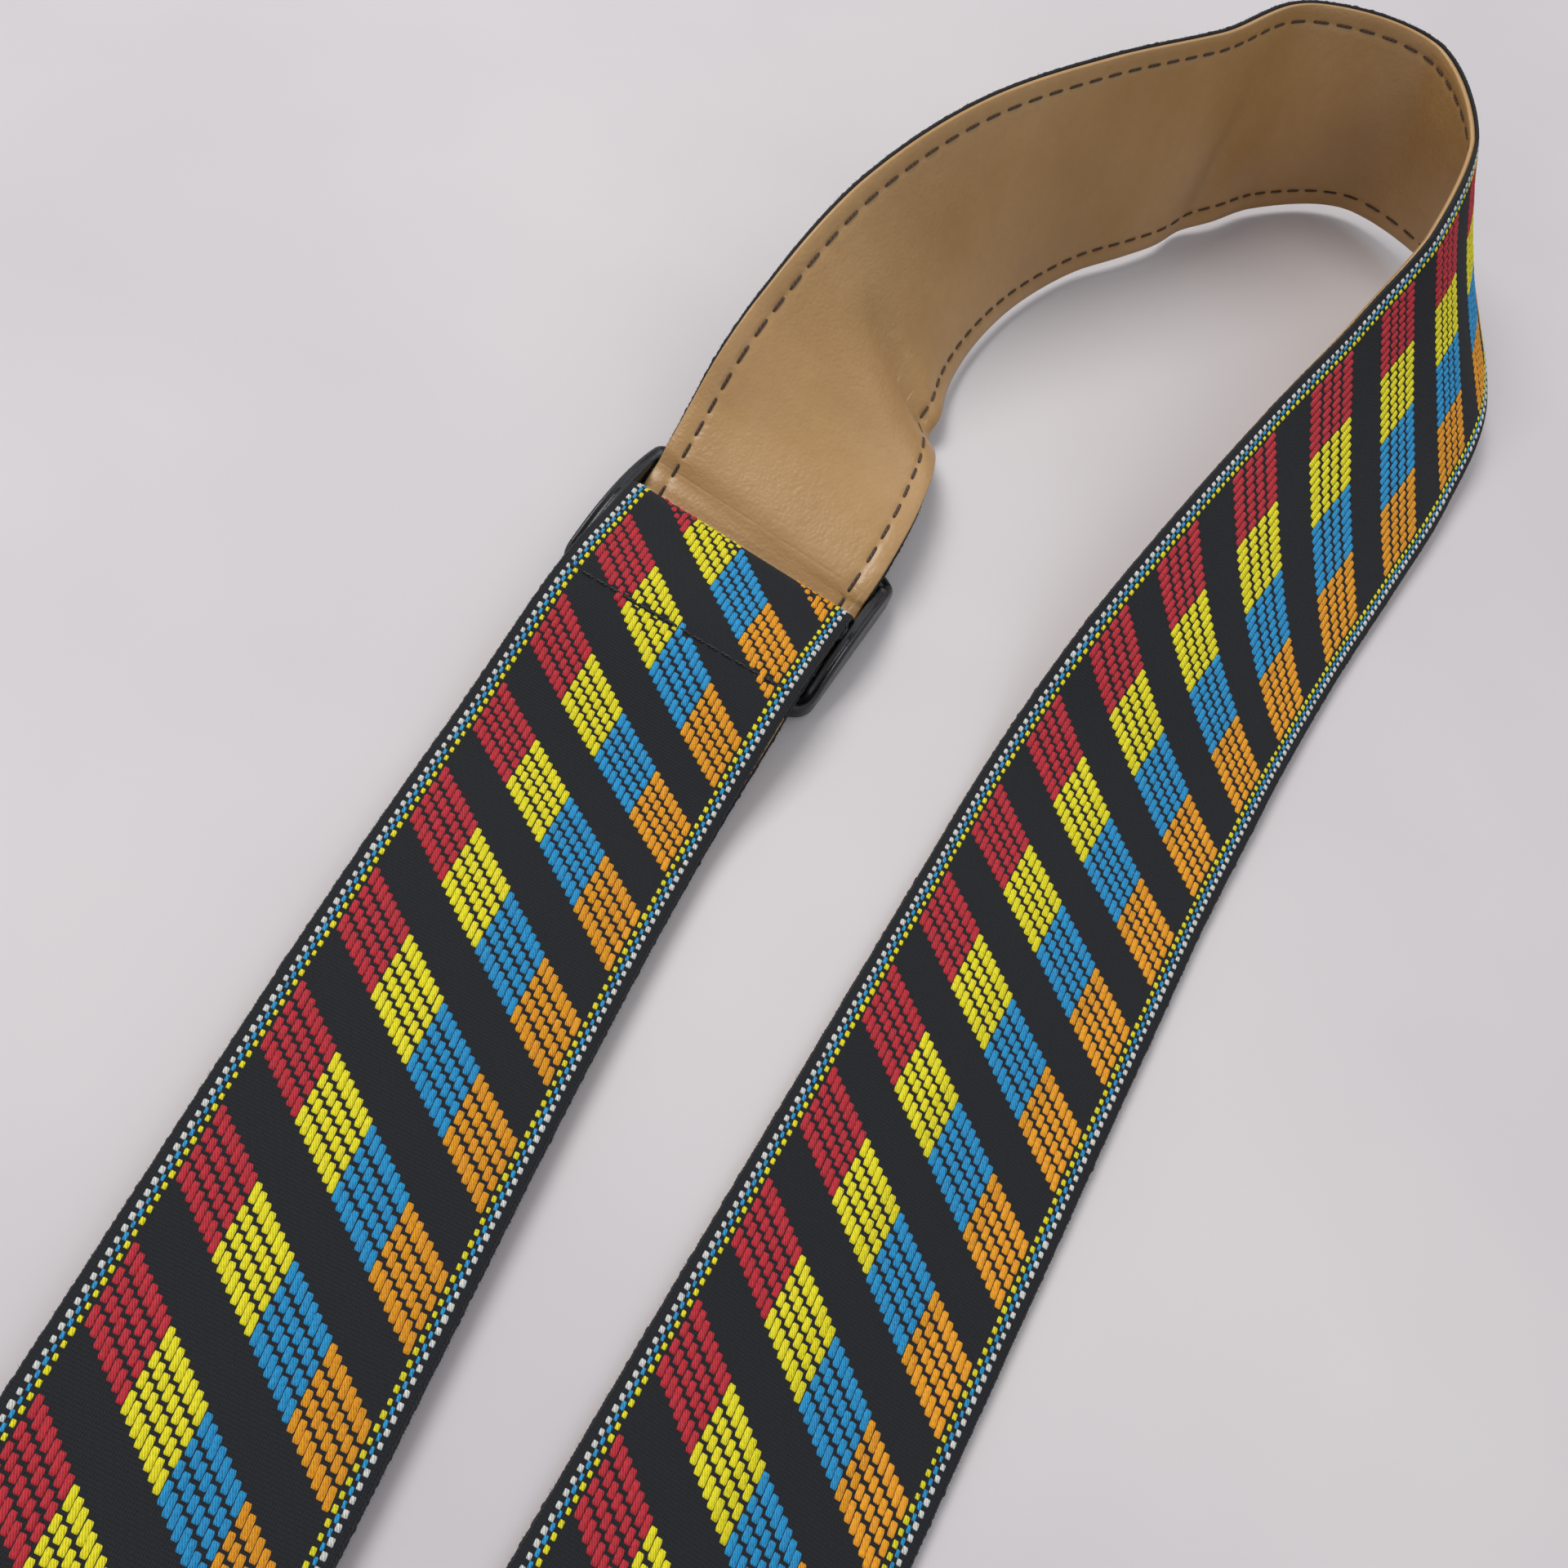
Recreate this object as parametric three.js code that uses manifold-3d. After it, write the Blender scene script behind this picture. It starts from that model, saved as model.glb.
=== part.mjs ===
// A two-inch guitar strap, lying in a loop on a flat surface, in millimetres, +Z up.
//
// One woven ribbon with a vinyl backing runs from the front leather tab, up the long run, round a
// standing loop, through a black three-bar slider, along the floor to a rectangular ring, round
// the ring and back on top of itself, and ends sewn round the slider's centre bar.
// The rear leather tab hangs on the ring.
//
// Working frame: x = 0 is the slider's middle line, y = 0 lies just behind the middle of its
// centre bar, and z = 0 is the surface.
// The last lines move the whole strap so that the origin is the middle of its footprint.
import * as THREE from 'three';
import { mergeVertices } from 'three/addons/utils/BufferGeometryUtils.js';
import Module from 'manifold-3d';

const wasm = await Module();
wasm.setup();

// ---------- driving dimensions ----------
const GAP = 0.3;                    // clearance between touching pieces
const RIBBON_WIDTH = 50.8;          // two inches
const RIBBON_THICK = 0.9;
const VINYL_WIDTH = 50.4;
const VINYL_THICK = 1.1;
const SEAM_ACROSS = 21.2;           // edge seams, from the strap's middle
const THREAD_WIDTH = 0.7;
const THREAD_HEIGHT = 0.4;
const GROOVE_WIDTH = THREAD_WIDTH + 2 * GAP;
const GROOVE_DEPTH = THREAD_HEIGHT + GAP;

// heights measured from the strap's middle surface, which lies between ribbon and vinyl
const RIBBON_IN = GAP / 2;
const RIBBON_OUT = RIBBON_IN + RIBBON_THICK;
const VINYL_IN = -GAP / 2;
const VINYL_OUT = VINYL_IN - VINYL_THICK;

const SLIDER_WIDTH = 57;
const SLIDER_LENGTH = 40.5;
const SLIDER_AHEAD = 1.75;          // its middle lies this far in front of y = 0
const SLIDER_CORNER = 5;
const OUTER_BAR = 4;                // length of the slider's end bars along the strap
const OUTER_BAR_HEIGHT = 3.6;
const RAIL_WIDTH = (SLIDER_WIDTH - RIBBON_WIDTH) / 2 - GAP;
const CENTRE_BAR_Y = 0.5;
const CENTRE_BAR_HALF = 2;          // half its length along the strap
const CENTRE_BAR_HEIGHT = 3;
const PLATE_BEVEL = 0.7;
const RAIL_BEVEL = 0.6;
const RAIL_INSET = 1.2;             // the arched rails stop this far inside the slider's ends
const RAIL_OVER_BAR = 0.3;          // and stand this much higher than the centre bar

const TAIL_START = 36;              // where the strap lies flat again behind the slider
const TAIL_LENGTH = 300;            // slider to ring
const TAIL_DRIFT = 29;              // the tail bends sideways by this much on its way
const RING_FOLD_LENGTH = 34;        // the fold's opening is this far from the ring
const TAIL_END = 62;                // where the tail's upper run meets the sewn end
const FOLD_EASE = 32;               // the fold's two layers come together this far from the ring
const SEWN_CREST = 1.1;             // the sewn end stands this much higher over the near bar
const SEWN_UNDER = 1.9;             // its turned-in end lies this far below the upper layer
const CROSS_SEAM_LENGTH = 48;
const CROSS_SEAM_HEIGHT = 0.3;
const CROSS_GROOVE_DEPTH = 0.6;
const RING_ROD = 4.4;
const RING_SPAN = 20;               // between the middles of the ring's two long bars
const RING_INNER_HALF = RIBBON_WIDTH / 2 + 0.8;
const RING_CORNER = 4;

const TAB_LENGTH = 95;
const TAB_HALF_WIDTH = 25.4;
const TAB_TIP_RADIUS = 15;
const TAB_SHOULDER = 42;            // where the taper starts
const TAB_LAP = 32;                 // leather lapped over the strap's end
const TAB_TOP_THICK = 2.0;
const TAB_SEAM_INSET = 4;           // the tabs' seams run this far inside their edges
const REAR_PLY_ROOT = 23;           // the rear tab's plies start this far from the ring's bar
const BUTTON_HOLE_RADIUS = 4.6;
const BUTTON_HOLE_FROM_TIP = 19;
const BUTTON_SLIT_LENGTH = 10;
const BUTTON_SLIT_WIDTH = 1.2;

// heights of the strap's middle surface where it lies flat
const LYING_VINYL_DOWN = -VINYL_OUT;
const LYING_RIBBON_DOWN = RIBBON_OUT;
const SECOND_LAYER = LYING_RIBBON_DOWN - VINYL_OUT + GAP - VINYL_OUT;
const STRAP_THICK = RIBBON_OUT - VINYL_OUT;
const RING_FOLD_RADIUS = RING_ROD / 2 + GAP - VINYL_OUT;
const RING_Z = LYING_RIBBON_DOWN + RING_FOLD_RADIUS;
const BAR_FOLD_RADIUS = CENTRE_BAR_HEIGHT / 2 + GAP - VINYL_OUT;
const CENTRE_BAR_Z = STRAP_THICK + GAP + RIBBON_OUT + BAR_FOLD_RADIUS;

// The long route from the front tab to the slider, as [x, y, z, tilt].
// Tilt is the roll of the strap about its own length: 0 lies face up, 90 stands on edge,
// 180 lies face down.
const LONG_ROUTE = [
  [95.5, -330, LYING_VINYL_DOWN, 0],
  [91.8, -250, LYING_VINYL_DOWN, 0],
  [89.4, -165, LYING_VINYL_DOWN, 0],
  [88.2, -80, LYING_VINYL_DOWN, 0],
  [87.7, -32, LYING_VINYL_DOWN, 0],
  [87.5, -8, 1.3, 0],
  [88, 14, 3.7, 4.6],
  [89, 34, 7.5, 13],
  [92, 65, 10.5, 21],
  [96, 97, 13, 26],
  [100, 128, 17.5, 34],
  [100.5, 159, 25, 45],
  [90, 188, 29.5, 61],
  [65.5, 206.5, 28.5, 82],
  [39, 193.5, 26.7, 105],
  [26, 164.5, 26.7, 106],
  [10.5, 136, 26.3, 107],
  [-1, 105.5, 25, 116],
  [-5.5, 75, 22, 130],
  [-3, 46, 17.5, 154],
  [-0.9, 28, 12.5, 174],
  [0, 16.5, 8.4, 180],
  [0, 10.3, 4.4, 180],
  [0, 4.6, 1.6, 180],
  [0, 0, 1.2, 180],
  [0, -5, 1.4, 180],
  [0, -10.5, 3.8, 180],
  [0, -14.5, 5.1, 180],
  [0.1, -18.5, 5.1, 180],
  [0.5, -24.5, 2.9, 180],
  [0.8, -30.5, 1.3, 180],
  [1.15, -36, LYING_RIBBON_DOWN, 180],
];
const LOOP_START_Y = -20;           // the long run begins to rise into the loop
const LOOP_BEND_Y = 140;            // the loop begins to turn back towards the slider
const FEED_START_Y = 136;           // the loose feed begins on the way back down
const FEED_END_Y = 13;              // and ends where the slider grips it
const SEW_Y = -22.5;                // the cross seam that closes the sewn end

// ---------- helpers ----------
const up = new THREE.Vector3(0, 0, 1);

// A frame holds a point of the strap's middle surface, the way along it, the way across it
// towards its red edge, and the way out of its woven face.
function makeFrame(point, along, across) {
  const out = new THREE.Vector3().crossVectors(along, across);
  return { point, along, across, out };
}

function longRouteFrames() {
  const places = LONG_ROUTE.map(([x, y, z]) => new THREE.Vector3(x, y, z));
  const tilts = LONG_ROUTE.map(([, , , tilt]) => new THREE.Vector3(tilt, 0, 0));
  const curve = new THREE.CatmullRomCurve3(places, false, 'catmullrom', 0.5);
  const tiltCurve = new THREE.CatmullRomCurve3(tilts, false, 'catmullrom', 0.5);
  const count = (LONG_ROUTE.length - 1) * 40;
  const frames = [];
  for (let i = 0; i <= count; i += 1) {
    const t = i / count;
    const along = curve.getTangent(t);
    const level = new THREE.Vector3().crossVectors(up, along).normalize();
    const above = new THREE.Vector3().crossVectors(along, level);
    const tilt = THREE.MathUtils.degToRad(tiltCurve.getPoint(t).x);
    const across = level.multiplyScalar(Math.cos(tilt)).addScaledVector(above, Math.sin(tilt));
    frames.push(makeFrame(curve.getPoint(t), along, across));
  }
  return frames;
}

// sideways place of the tail's middle line, from the slider (y = 0) to the ring and past it
function tailX(y) {
  return TAIL_DRIFT * THREE.MathUtils.smoothstep(-y, 0, TAIL_LENGTH);
}

// A profile is a path in the plane of y and z; it follows the tail's sideways bend.
function profileFrames(profile) {
  const points = profile.getSpacedPoints(Math.ceil(profile.getLength() / 0.5));
  const frames = [];
  for (let i = 0; i < points.length; i += 1) {
    const before = points[Math.max(i - 1, 0)];
    const after = points[Math.min(i + 1, points.length - 1)];
    const slope = (tailX(points[i].x + 1) - tailX(points[i].x - 1)) / 2;
    const along = new THREE.Vector3(slope * (after.x - before.x), after.x - before.x, after.y - before.y);
    const across = new THREE.Vector3(-1, slope, 0).normalize();
    const point = new THREE.Vector3(tailX(points[i].x), points[i].x, points[i].y);
    frames.push(makeFrame(point, along.normalize(), across));
  }
  return frames;
}

// keeps only the frames that the shape needs: a new one after a turn or a long way
function thinOut(frames, turnDegrees = 7, longest = 70) {
  const limit = Math.cos(THREE.MathUtils.degToRad(turnDegrees));
  const kept = [frames[0]];
  for (let i = 1; i < frames.length; i += 1) {
    const last = kept[kept.length - 1];
    const frame = frames[i];
    const turned = frame.along.dot(last.along) < limit || frame.out.dot(last.out) < limit;
    if (turned || frame.point.distanceTo(last.point) > longest || i === frames.length - 1) kept.push(frame);
  }
  return kept;
}

// leaves half a clearance free at both ends of a stretch
function trimEnds(frames) {
  const trimmed = frames.map((frame) => ({ ...frame, point: frame.point.clone() }));
  trimmed[0].point.addScaledVector(trimmed[0].along, GAP / 2);
  const last = trimmed[trimmed.length - 1];
  last.point.addScaledVector(last.along, -GAP / 2);
  return trimmed;
}

function closed(geometry) {
  geometry.deleteAttribute('normal');
  geometry.deleteAttribute('uv');
  return mergeVertices(geometry, 1e-5);
}

// Sweeps a counterclockwise section (x across the strap, y out of its woven face) through the
// frames. Every wall is split along the same diagonal, so that two layers of a twisted stretch
// stay parallel.
function sweep(section, frames) {
  const points = section.getPoints();
  if (points[0].equals(points[points.length - 1])) points.pop();
  const size = points.length;
  const position = [];
  for (const frame of frames) {
    for (const point of points) {
      const vertex = frame.point.clone()
        .addScaledVector(frame.across, point.x)
        .addScaledVector(frame.out, point.y);
      position.push(vertex.x, vertex.y, vertex.z);
    }
  }
  const index = [];
  for (let i = 0; i < frames.length - 1; i += 1) {
    for (let k = 0; k < size; k += 1) {
      const next = (k + 1) % size;
      const near = [i * size + k, i * size + next];
      const far = [near[0] + size, near[1] + size];
      if (points[next].x >= points[k].x) index.push(near[0], near[1], far[1], near[0], far[1], far[0]);
      else index.push(near[0], near[1], far[0], near[1], far[1], far[0]);
    }
  }
  const end = (frames.length - 1) * size;
  for (const [a, b, c] of THREE.ShapeUtils.triangulateShape(points, [])) {
    index.push(c, b, a, end + a, end + b, end + c);
  }
  const geometry = new THREE.BufferGeometry();
  geometry.setAttribute('position', new THREE.Float32BufferAttribute(position, 3));
  geometry.setIndex(index);
  geometry.computeVertexNormals();
  return geometry;
}

function rectangle(x0, x1, y0, y1) {
  const shape = new THREE.Shape();
  shape.moveTo(x0, y0).lineTo(x1, y0).lineTo(x1, y1).lineTo(x0, y1).closePath();
  return shape;
}

// an outline's own points, counterclockwise, with none doubled where an arc meets a line
function outlineOf(shape, divisions = 6) {
  const points = shape.getPoints(divisions);
  const apart = points.filter((point, i) => point.distanceTo(points[(i + 1) % points.length]) > 1e-3);
  if (THREE.ShapeUtils.isClockWise(apart)) apart.reverse();
  return new THREE.Shape(apart);
}

function roundedRectangle(width, length, radius) {
  const x = width / 2 - radius;
  const y = length / 2 - radius;
  const shape = new THREE.Shape();
  shape.absarc(x, y, radius, 0, Math.PI / 2);
  shape.absarc(-x, y, radius, Math.PI / 2, Math.PI);
  shape.absarc(-x, -y, radius, Math.PI, 1.5 * Math.PI);
  shape.absarc(x, -y, radius, 1.5 * Math.PI, 2 * Math.PI);
  return outlineOf(shape);
}

function toManifold(geometry) {
  const merged = closed(geometry);
  return new wasm.Manifold(new wasm.Mesh({
    numProp: 3,
    vertProperties: new Float32Array(merged.getAttribute('position').array),
    triVerts: new Uint32Array(merged.index.array),
  }));
}

function toGeometry(solid) {
  const mesh = solid.getMesh();
  const geometry = new THREE.BufferGeometry();
  geometry.setAttribute('position', new THREE.BufferAttribute(new Float32Array(mesh.vertProperties), 3));
  geometry.setIndex(new THREE.BufferAttribute(new Uint32Array(mesh.triVerts), 1));
  geometry.computeVertexNormals();
  return geometry;
}

function extrude(shape, depth, z, curveSegments = 6) {
  const geometry = new THREE.ExtrudeGeometry(shape, { depth, bevelEnabled: false, curveSegments });
  geometry.translate(0, 0, z);
  return geometry;
}

// ---------- materials ----------
const materials = {
  ribbon: new THREE.MeshStandardMaterial({ color: 0x2a2c31, roughness: 0.85 }),
  vinyl: new THREE.MeshStandardMaterial({ color: 0xb08c5f, roughness: 0.45 }),
  thread: new THREE.MeshStandardMaterial({ color: 0x3d2c1d, roughness: 0.7 }),
  plastic: new THREE.MeshStandardMaterial({ color: 0x24272b, roughness: 0.35 }),
  ring: new THREE.MeshStandardMaterial({ color: 0x1c1d1f, roughness: 0.3, metalness: 0.8 }),
  leather: new THREE.MeshStandardMaterial({ color: 0x201c1a, roughness: 0.6 }),
  lining: new THREE.MeshStandardMaterial({ color: 0x3a332d, roughness: 0.9 }),
};

const strap = new THREE.Group();

function addMesh(name, geometry, material) {
  const mesh = new THREE.Mesh(geometry, material);
  mesh.name = name;
  strap.add(mesh);
  return mesh;
}

// ---------- strap sections ----------
function ribbonSection() {
  return rectangle(-RIBBON_WIDTH / 2, RIBBON_WIDTH / 2, RIBBON_IN, RIBBON_OUT);
}

function vinylSection() {
  const half = VINYL_WIDTH / 2;
  const groove = GROOVE_WIDTH / 2;
  const bottom = VINYL_OUT + GROOVE_DEPTH;
  const shape = new THREE.Shape();
  shape.moveTo(-half, VINYL_OUT);
  for (const side of [-1, 1]) {
    const x = side * SEAM_ACROSS;
    shape.lineTo(x - groove, VINYL_OUT).lineTo(x - groove, bottom);
    shape.lineTo(x + groove, bottom).lineTo(x + groove, VINYL_OUT);
  }
  shape.lineTo(half, VINYL_OUT).lineTo(half, VINYL_IN).lineTo(-half, VINYL_IN).closePath();
  return shape;
}

function threadSection(side) {
  const x = side * SEAM_ACROSS;
  return rectangle(x - THREAD_WIDTH / 2, x + THREAD_WIDTH / 2, VINYL_OUT, VINYL_OUT + THREAD_HEIGHT);
}

// one stretch of the strap: woven ribbon, vinyl backing and its two edge seams
function addStretch(name, frames) {
  const kept = trimEnds(thinOut(frames));
  addMesh(`${name}_ribbon`, sweep(ribbonSection(), kept), materials.ribbon);
  addMesh(`${name}_vinyl`, sweep(vinylSection(), kept), materials.vinyl);
  addMesh(`${name}_seam_red_edge`, sweep(threadSection(1), kept), materials.thread);
  addMesh(`${name}_seam_orange_edge`, sweep(threadSection(-1), kept), materials.thread);
}

// ---------- the long route ----------
function addLongRoute() {
  const frames = longRouteFrames();
  const top = frames.reduce((best, frame, i) => (frame.point.y > frames[best].point.y ? i : best), 0);
  const rising = (y) => frames.findIndex((frame) => frame.point.y > y);
  const falling = (y) => frames.findIndex((frame, i) => i > top && frame.point.y < y);
  const starts = {
    long_run: 0,
    loop_rise: rising(LOOP_START_Y),
    loop_bend: rising(LOOP_BEND_Y),
    loop_return: top,
    feed: falling(FEED_START_Y),
    threaded: falling(FEED_END_Y),
  };
  const cuts = [...Object.values(starts), frames.length - 1];
  Object.keys(starts).forEach((name, i) => addStretch(name, frames.slice(cuts[i], cuts[i + 1] + 1)));
}

// ---------- the tail: along the floor, round the ring and back on top ----------
function tailProfile() {
  const path = new THREE.Path();
  const ringY = -TAIL_LENGTH;
  const topZ = LYING_RIBBON_DOWN + 2 * RING_FOLD_RADIUS;
  path.moveTo(-TAIL_START, LYING_RIBBON_DOWN);
  path.lineTo(ringY, LYING_RIBBON_DOWN);
  path.absarc(ringY, RING_Z, RING_FOLD_RADIUS, -Math.PI / 2, -1.5 * Math.PI, true);
  path.bezierCurveTo(ringY + 12, topZ, ringY + 18, SECOND_LAYER, ringY + FOLD_EASE, SECOND_LAYER);
  path.lineTo(-TAIL_END, SECOND_LAYER);
  return path;
}

function addTail() {
  const frames = profileFrames(tailProfile());
  const inFold = (frame) => frame.point.y < RING_FOLD_LENGTH - TAIL_LENGTH;
  const foldStart = frames.findIndex(inFold);
  const foldEnd = frames.length - 1 - [...frames].reverse().findIndex(inFold);
  addStretch('tail_lower', frames.slice(0, foldStart + 1));
  addStretch('ring_fold', frames.slice(foldStart, foldEnd + 1));
  addStretch('tail_upper', frames.slice(foldEnd));
}

// ---------- the sewn end: over the near bar, round the centre bar and back to the seam ----------
function endLoopProfile() {
  const topZ = CENTRE_BAR_Z + BAR_FOLD_RADIUS;
  const lowZ = CENTRE_BAR_Z - BAR_FOLD_RADIUS;
  const crestZ = topZ + SEWN_CREST;
  const underZ = topZ - SEWN_UNDER;
  const frontY = CENTRE_BAR_Y + CENTRE_BAR_HALF - CENTRE_BAR_HEIGHT / 2;
  const path = new THREE.Path();
  path.moveTo(-TAIL_END, SECOND_LAYER);
  path.bezierCurveTo(-42, SECOND_LAYER, -32, crestZ, -17, crestZ);
  path.bezierCurveTo(-12, crestZ, -8, topZ, -3, topZ);
  path.lineTo(frontY, topZ);
  path.absarc(frontY, CENTRE_BAR_Z, BAR_FOLD_RADIUS, Math.PI / 2, -Math.PI / 2, true);
  path.lineTo(-1.5, lowZ);
  path.bezierCurveTo(-5, lowZ, -7.5, underZ, -12.5, underZ);
  path.lineTo(-19, underZ);
  path.bezierCurveTo(-21, underZ, -22, underZ - 0.3, -24, underZ - 0.9);
  return path;
}

function addSewnEnd() {
  const frames = profileFrames(endLoopProfile());
  const kept = trimEnds(thinOut(frames));
  const seam = frames.find((frame) => frame.point.y > SEW_Y);
  const place = (geometry, height) => {
    const centre = seam.point.clone().addScaledVector(seam.out, height);
    const turn = new THREE.Matrix4().makeBasis(seam.across, seam.along.clone().negate(), seam.out);
    return geometry.applyMatrix4(turn.setPosition(centre));
  };
  const cut = new THREE.BoxGeometry(RIBBON_WIDTH + 10, GROOVE_WIDTH, 2 * CROSS_GROOVE_DEPTH);
  const groove = place(cut, RIBBON_OUT);
  const line = new THREE.BoxGeometry(CROSS_SEAM_LENGTH, THREAD_WIDTH, CROSS_SEAM_HEIGHT);
  const thread = place(line, RIBBON_OUT - CROSS_SEAM_HEIGHT / 2);
  const ribbon = toManifold(sweep(ribbonSection(), kept)).subtract(toManifold(groove));
  addMesh('sewn_end_ribbon', toGeometry(ribbon), materials.ribbon);
  addMesh('sewn_end_vinyl', sweep(vinylSection(), kept), materials.vinyl);
  addMesh('sewn_end_seam_red_edge', sweep(threadSection(1), kept), materials.thread);
  addMesh('sewn_end_seam_orange_edge', sweep(threadSection(-1), kept), materials.thread);
  addMesh('cross_seam', thread, materials.thread);
}

// ---------- slider ----------
function railShape() {
  const half = SLIDER_LENGTH / 2 - RAIL_INSET;
  const crown = CENTRE_BAR_Z + CENTRE_BAR_HEIGHT / 2 + RAIL_OVER_BAR;
  const endZ = OUTER_BAR_HEIGHT - 0.8;
  const shape = new THREE.Shape();
  shape.moveTo(-half, RAIL_BEVEL).lineTo(half, RAIL_BEVEL).lineTo(half, endZ);
  shape.quadraticCurveTo(half * 0.45, crown, 0, crown);
  shape.quadraticCurveTo(-half * 0.45, crown, -half, endZ);
  return shape;
}

function addSlider() {
  const plate = roundedRectangle(SLIDER_WIDTH, SLIDER_LENGTH, SLIDER_CORNER);
  const windowHalfX = SLIDER_WIDTH / 2 - RAIL_WIDTH;
  const windowHalfY = SLIDER_LENGTH / 2 - OUTER_BAR;
  plate.holes.push(rectangle(-windowHalfX, windowHalfX, -windowHalfY, windowHalfY));
  const body = new THREE.ExtrudeGeometry(plate, {
    depth: OUTER_BAR_HEIGHT - 2 * PLATE_BEVEL,
    bevelSize: PLATE_BEVEL,
    bevelThickness: PLATE_BEVEL,
    bevelOffset: -PLATE_BEVEL,
    bevelSegments: 2,
    curveSegments: 5,
  });
  body.translate(0, SLIDER_AHEAD, PLATE_BEVEL);
  let slider = toManifold(body);
  for (const side of [-1, 1]) {
    const rail = new THREE.ExtrudeGeometry(railShape(), {
      depth: RAIL_WIDTH - 2 * RAIL_BEVEL,
      bevelSize: RAIL_BEVEL,
      bevelThickness: RAIL_BEVEL,
      bevelOffset: -RAIL_BEVEL,
      bevelSegments: 2,
      curveSegments: 8,
    });
    rail.translate(0, 0, RAIL_BEVEL).rotateX(Math.PI / 2).rotateZ(Math.PI / 2);
    rail.translate(side > 0 ? windowHalfX : -windowHalfX - RAIL_WIDTH, SLIDER_AHEAD, 0);
    slider = slider.add(toManifold(rail));
  }
  const barSection = roundedRectangle(2 * CENTRE_BAR_HALF, CENTRE_BAR_HEIGHT, CENTRE_BAR_HEIGHT / 2 - 0.01);
  const barEnd = windowHalfX + 0.7;
  const bar = extrude(barSection, 2 * barEnd, 0, 5);
  bar.rotateX(Math.PI / 2).rotateZ(Math.PI / 2);
  bar.translate(-barEnd, CENTRE_BAR_Y, CENTRE_BAR_Z);
  slider = slider.add(toManifold(bar));
  addMesh('slider', toGeometry(slider), materials.plastic);
}

// ---------- ring ----------
function addRing() {
  const halfX = RING_INNER_HALF + RING_ROD / 2;
  const halfY = RING_SPAN / 2;
  const outline = roundedRectangle(2 * halfX, 2 * halfY, RING_CORNER);
  const points = outline.getPoints(4);
  points.pop();
  const centre = new THREE.Vector3(tailX(-TAIL_LENGTH), -TAIL_LENGTH - halfY, RING_Z);
  const sides = 10;
  const position = [];
  const index = [];
  points.forEach((point, i) => {
    const before = points[(i + points.length - 1) % points.length];
    const after = points[(i + 1) % points.length];
    const inward = point.clone().sub(before).normalize().add(after.clone().sub(point).normalize());
    inward.normalize().rotateAround(new THREE.Vector2(), Math.PI / 2);
    for (let k = 0; k < sides; k += 1) {
      const angle = (2 * Math.PI * (k + 0.5)) / sides;
      const reach = (RING_ROD / 2) * Math.cos(angle);
      position.push(
        centre.x + point.x + inward.x * reach,
        centre.y + point.y + inward.y * reach,
        centre.z + (RING_ROD / 2) * Math.sin(angle),
      );
      const next = (i + 1) % points.length;
      const a = i * sides + k;
      const b = i * sides + ((k + 1) % sides);
      const c = next * sides + ((k + 1) % sides);
      const d = next * sides + k;
      index.push(a, b, c, a, c, d);
    }
  });
  const geometry = new THREE.BufferGeometry();
  geometry.setAttribute('position', new THREE.Float32BufferAttribute(position, 3));
  geometry.setIndex(index);
  geometry.computeVertexNormals();
  addMesh('ring', geometry, materials.ring);
}

// ---------- leather tabs ----------
// A tab's outline points down -Y from its root at y = 0 to its rounded tip.
function tabOutline(rootY, inset = 0) {
  const half = TAB_HALF_WIDTH - inset;
  const tipRadius = TAB_TIP_RADIUS - inset;
  const tipY = -TAB_LENGTH + TAB_TIP_RADIUS;
  const lean = -0.3;
  const shape = new THREE.Shape();
  shape.moveTo(half, rootY - inset).lineTo(half, -TAB_SHOULDER);
  const tipEnd = [tipRadius * Math.cos(lean), tipY + tipRadius * Math.sin(lean)];
  shape.quadraticCurveTo(half - 1, -TAB_SHOULDER - 12, ...tipEnd);
  shape.absarc(0, tipY, tipRadius, lean, -Math.PI - lean, true);
  shape.quadraticCurveTo(-half + 1, -TAB_SHOULDER - 12, -half, -TAB_SHOULDER);
  shape.lineTo(-half, rootY - inset);
  return outlineOf(shape, 8);
}

function buttonHole() {
  const holeY = -TAB_LENGTH + BUTTON_HOLE_FROM_TIP;
  const half = BUTTON_SLIT_WIDTH / 2;
  const start = Math.asin(half / BUTTON_HOLE_RADIUS);
  const hole = new THREE.Shape();
  hole.absarc(0, holeY, BUTTON_HOLE_RADIUS, Math.PI / 2 + start, Math.PI / 2 - start + 2 * Math.PI, false);
  hole.lineTo(half, holeY + BUTTON_HOLE_RADIUS + BUTTON_SLIT_LENGTH);
  hole.lineTo(-half, holeY + BUTTON_HOLE_RADIUS + BUTTON_SLIT_LENGTH);
  return outlineOf(hole, 8);
}

function ply(rootY, z, thick) {
  const shape = tabOutline(rootY);
  shape.holes.push(buttonHole());
  return toManifold(extrude(shape, thick, z));
}

// a seam is a closed line of thread, let into the leather
function seamLoop(outer, inner, height, z) {
  const shape = outer.clone();
  shape.holes.push(inner);
  return extrude(shape, height, z);
}

function boxSeam(width, height, z) {
  const half = TAB_HALF_WIDTH - TAB_SEAM_INSET;
  const far = TAB_LAP - TAB_SEAM_INSET;
  const w = width / 2;
  const outer = rectangle(-half - w, half + w, TAB_SEAM_INSET - w, far + w);
  const inner = rectangle(-half + w, half - w, TAB_SEAM_INSET + w, far - w);
  return seamLoop(outer, inner, height, z);
}

function edgeSeam(rootY, width, height, z) {
  const outer = tabOutline(rootY, TAB_SEAM_INSET - width / 2);
  const inner = tabOutline(rootY, TAB_SEAM_INSET + width / 2);
  return seamLoop(outer, inner, height, z);
}

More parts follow.
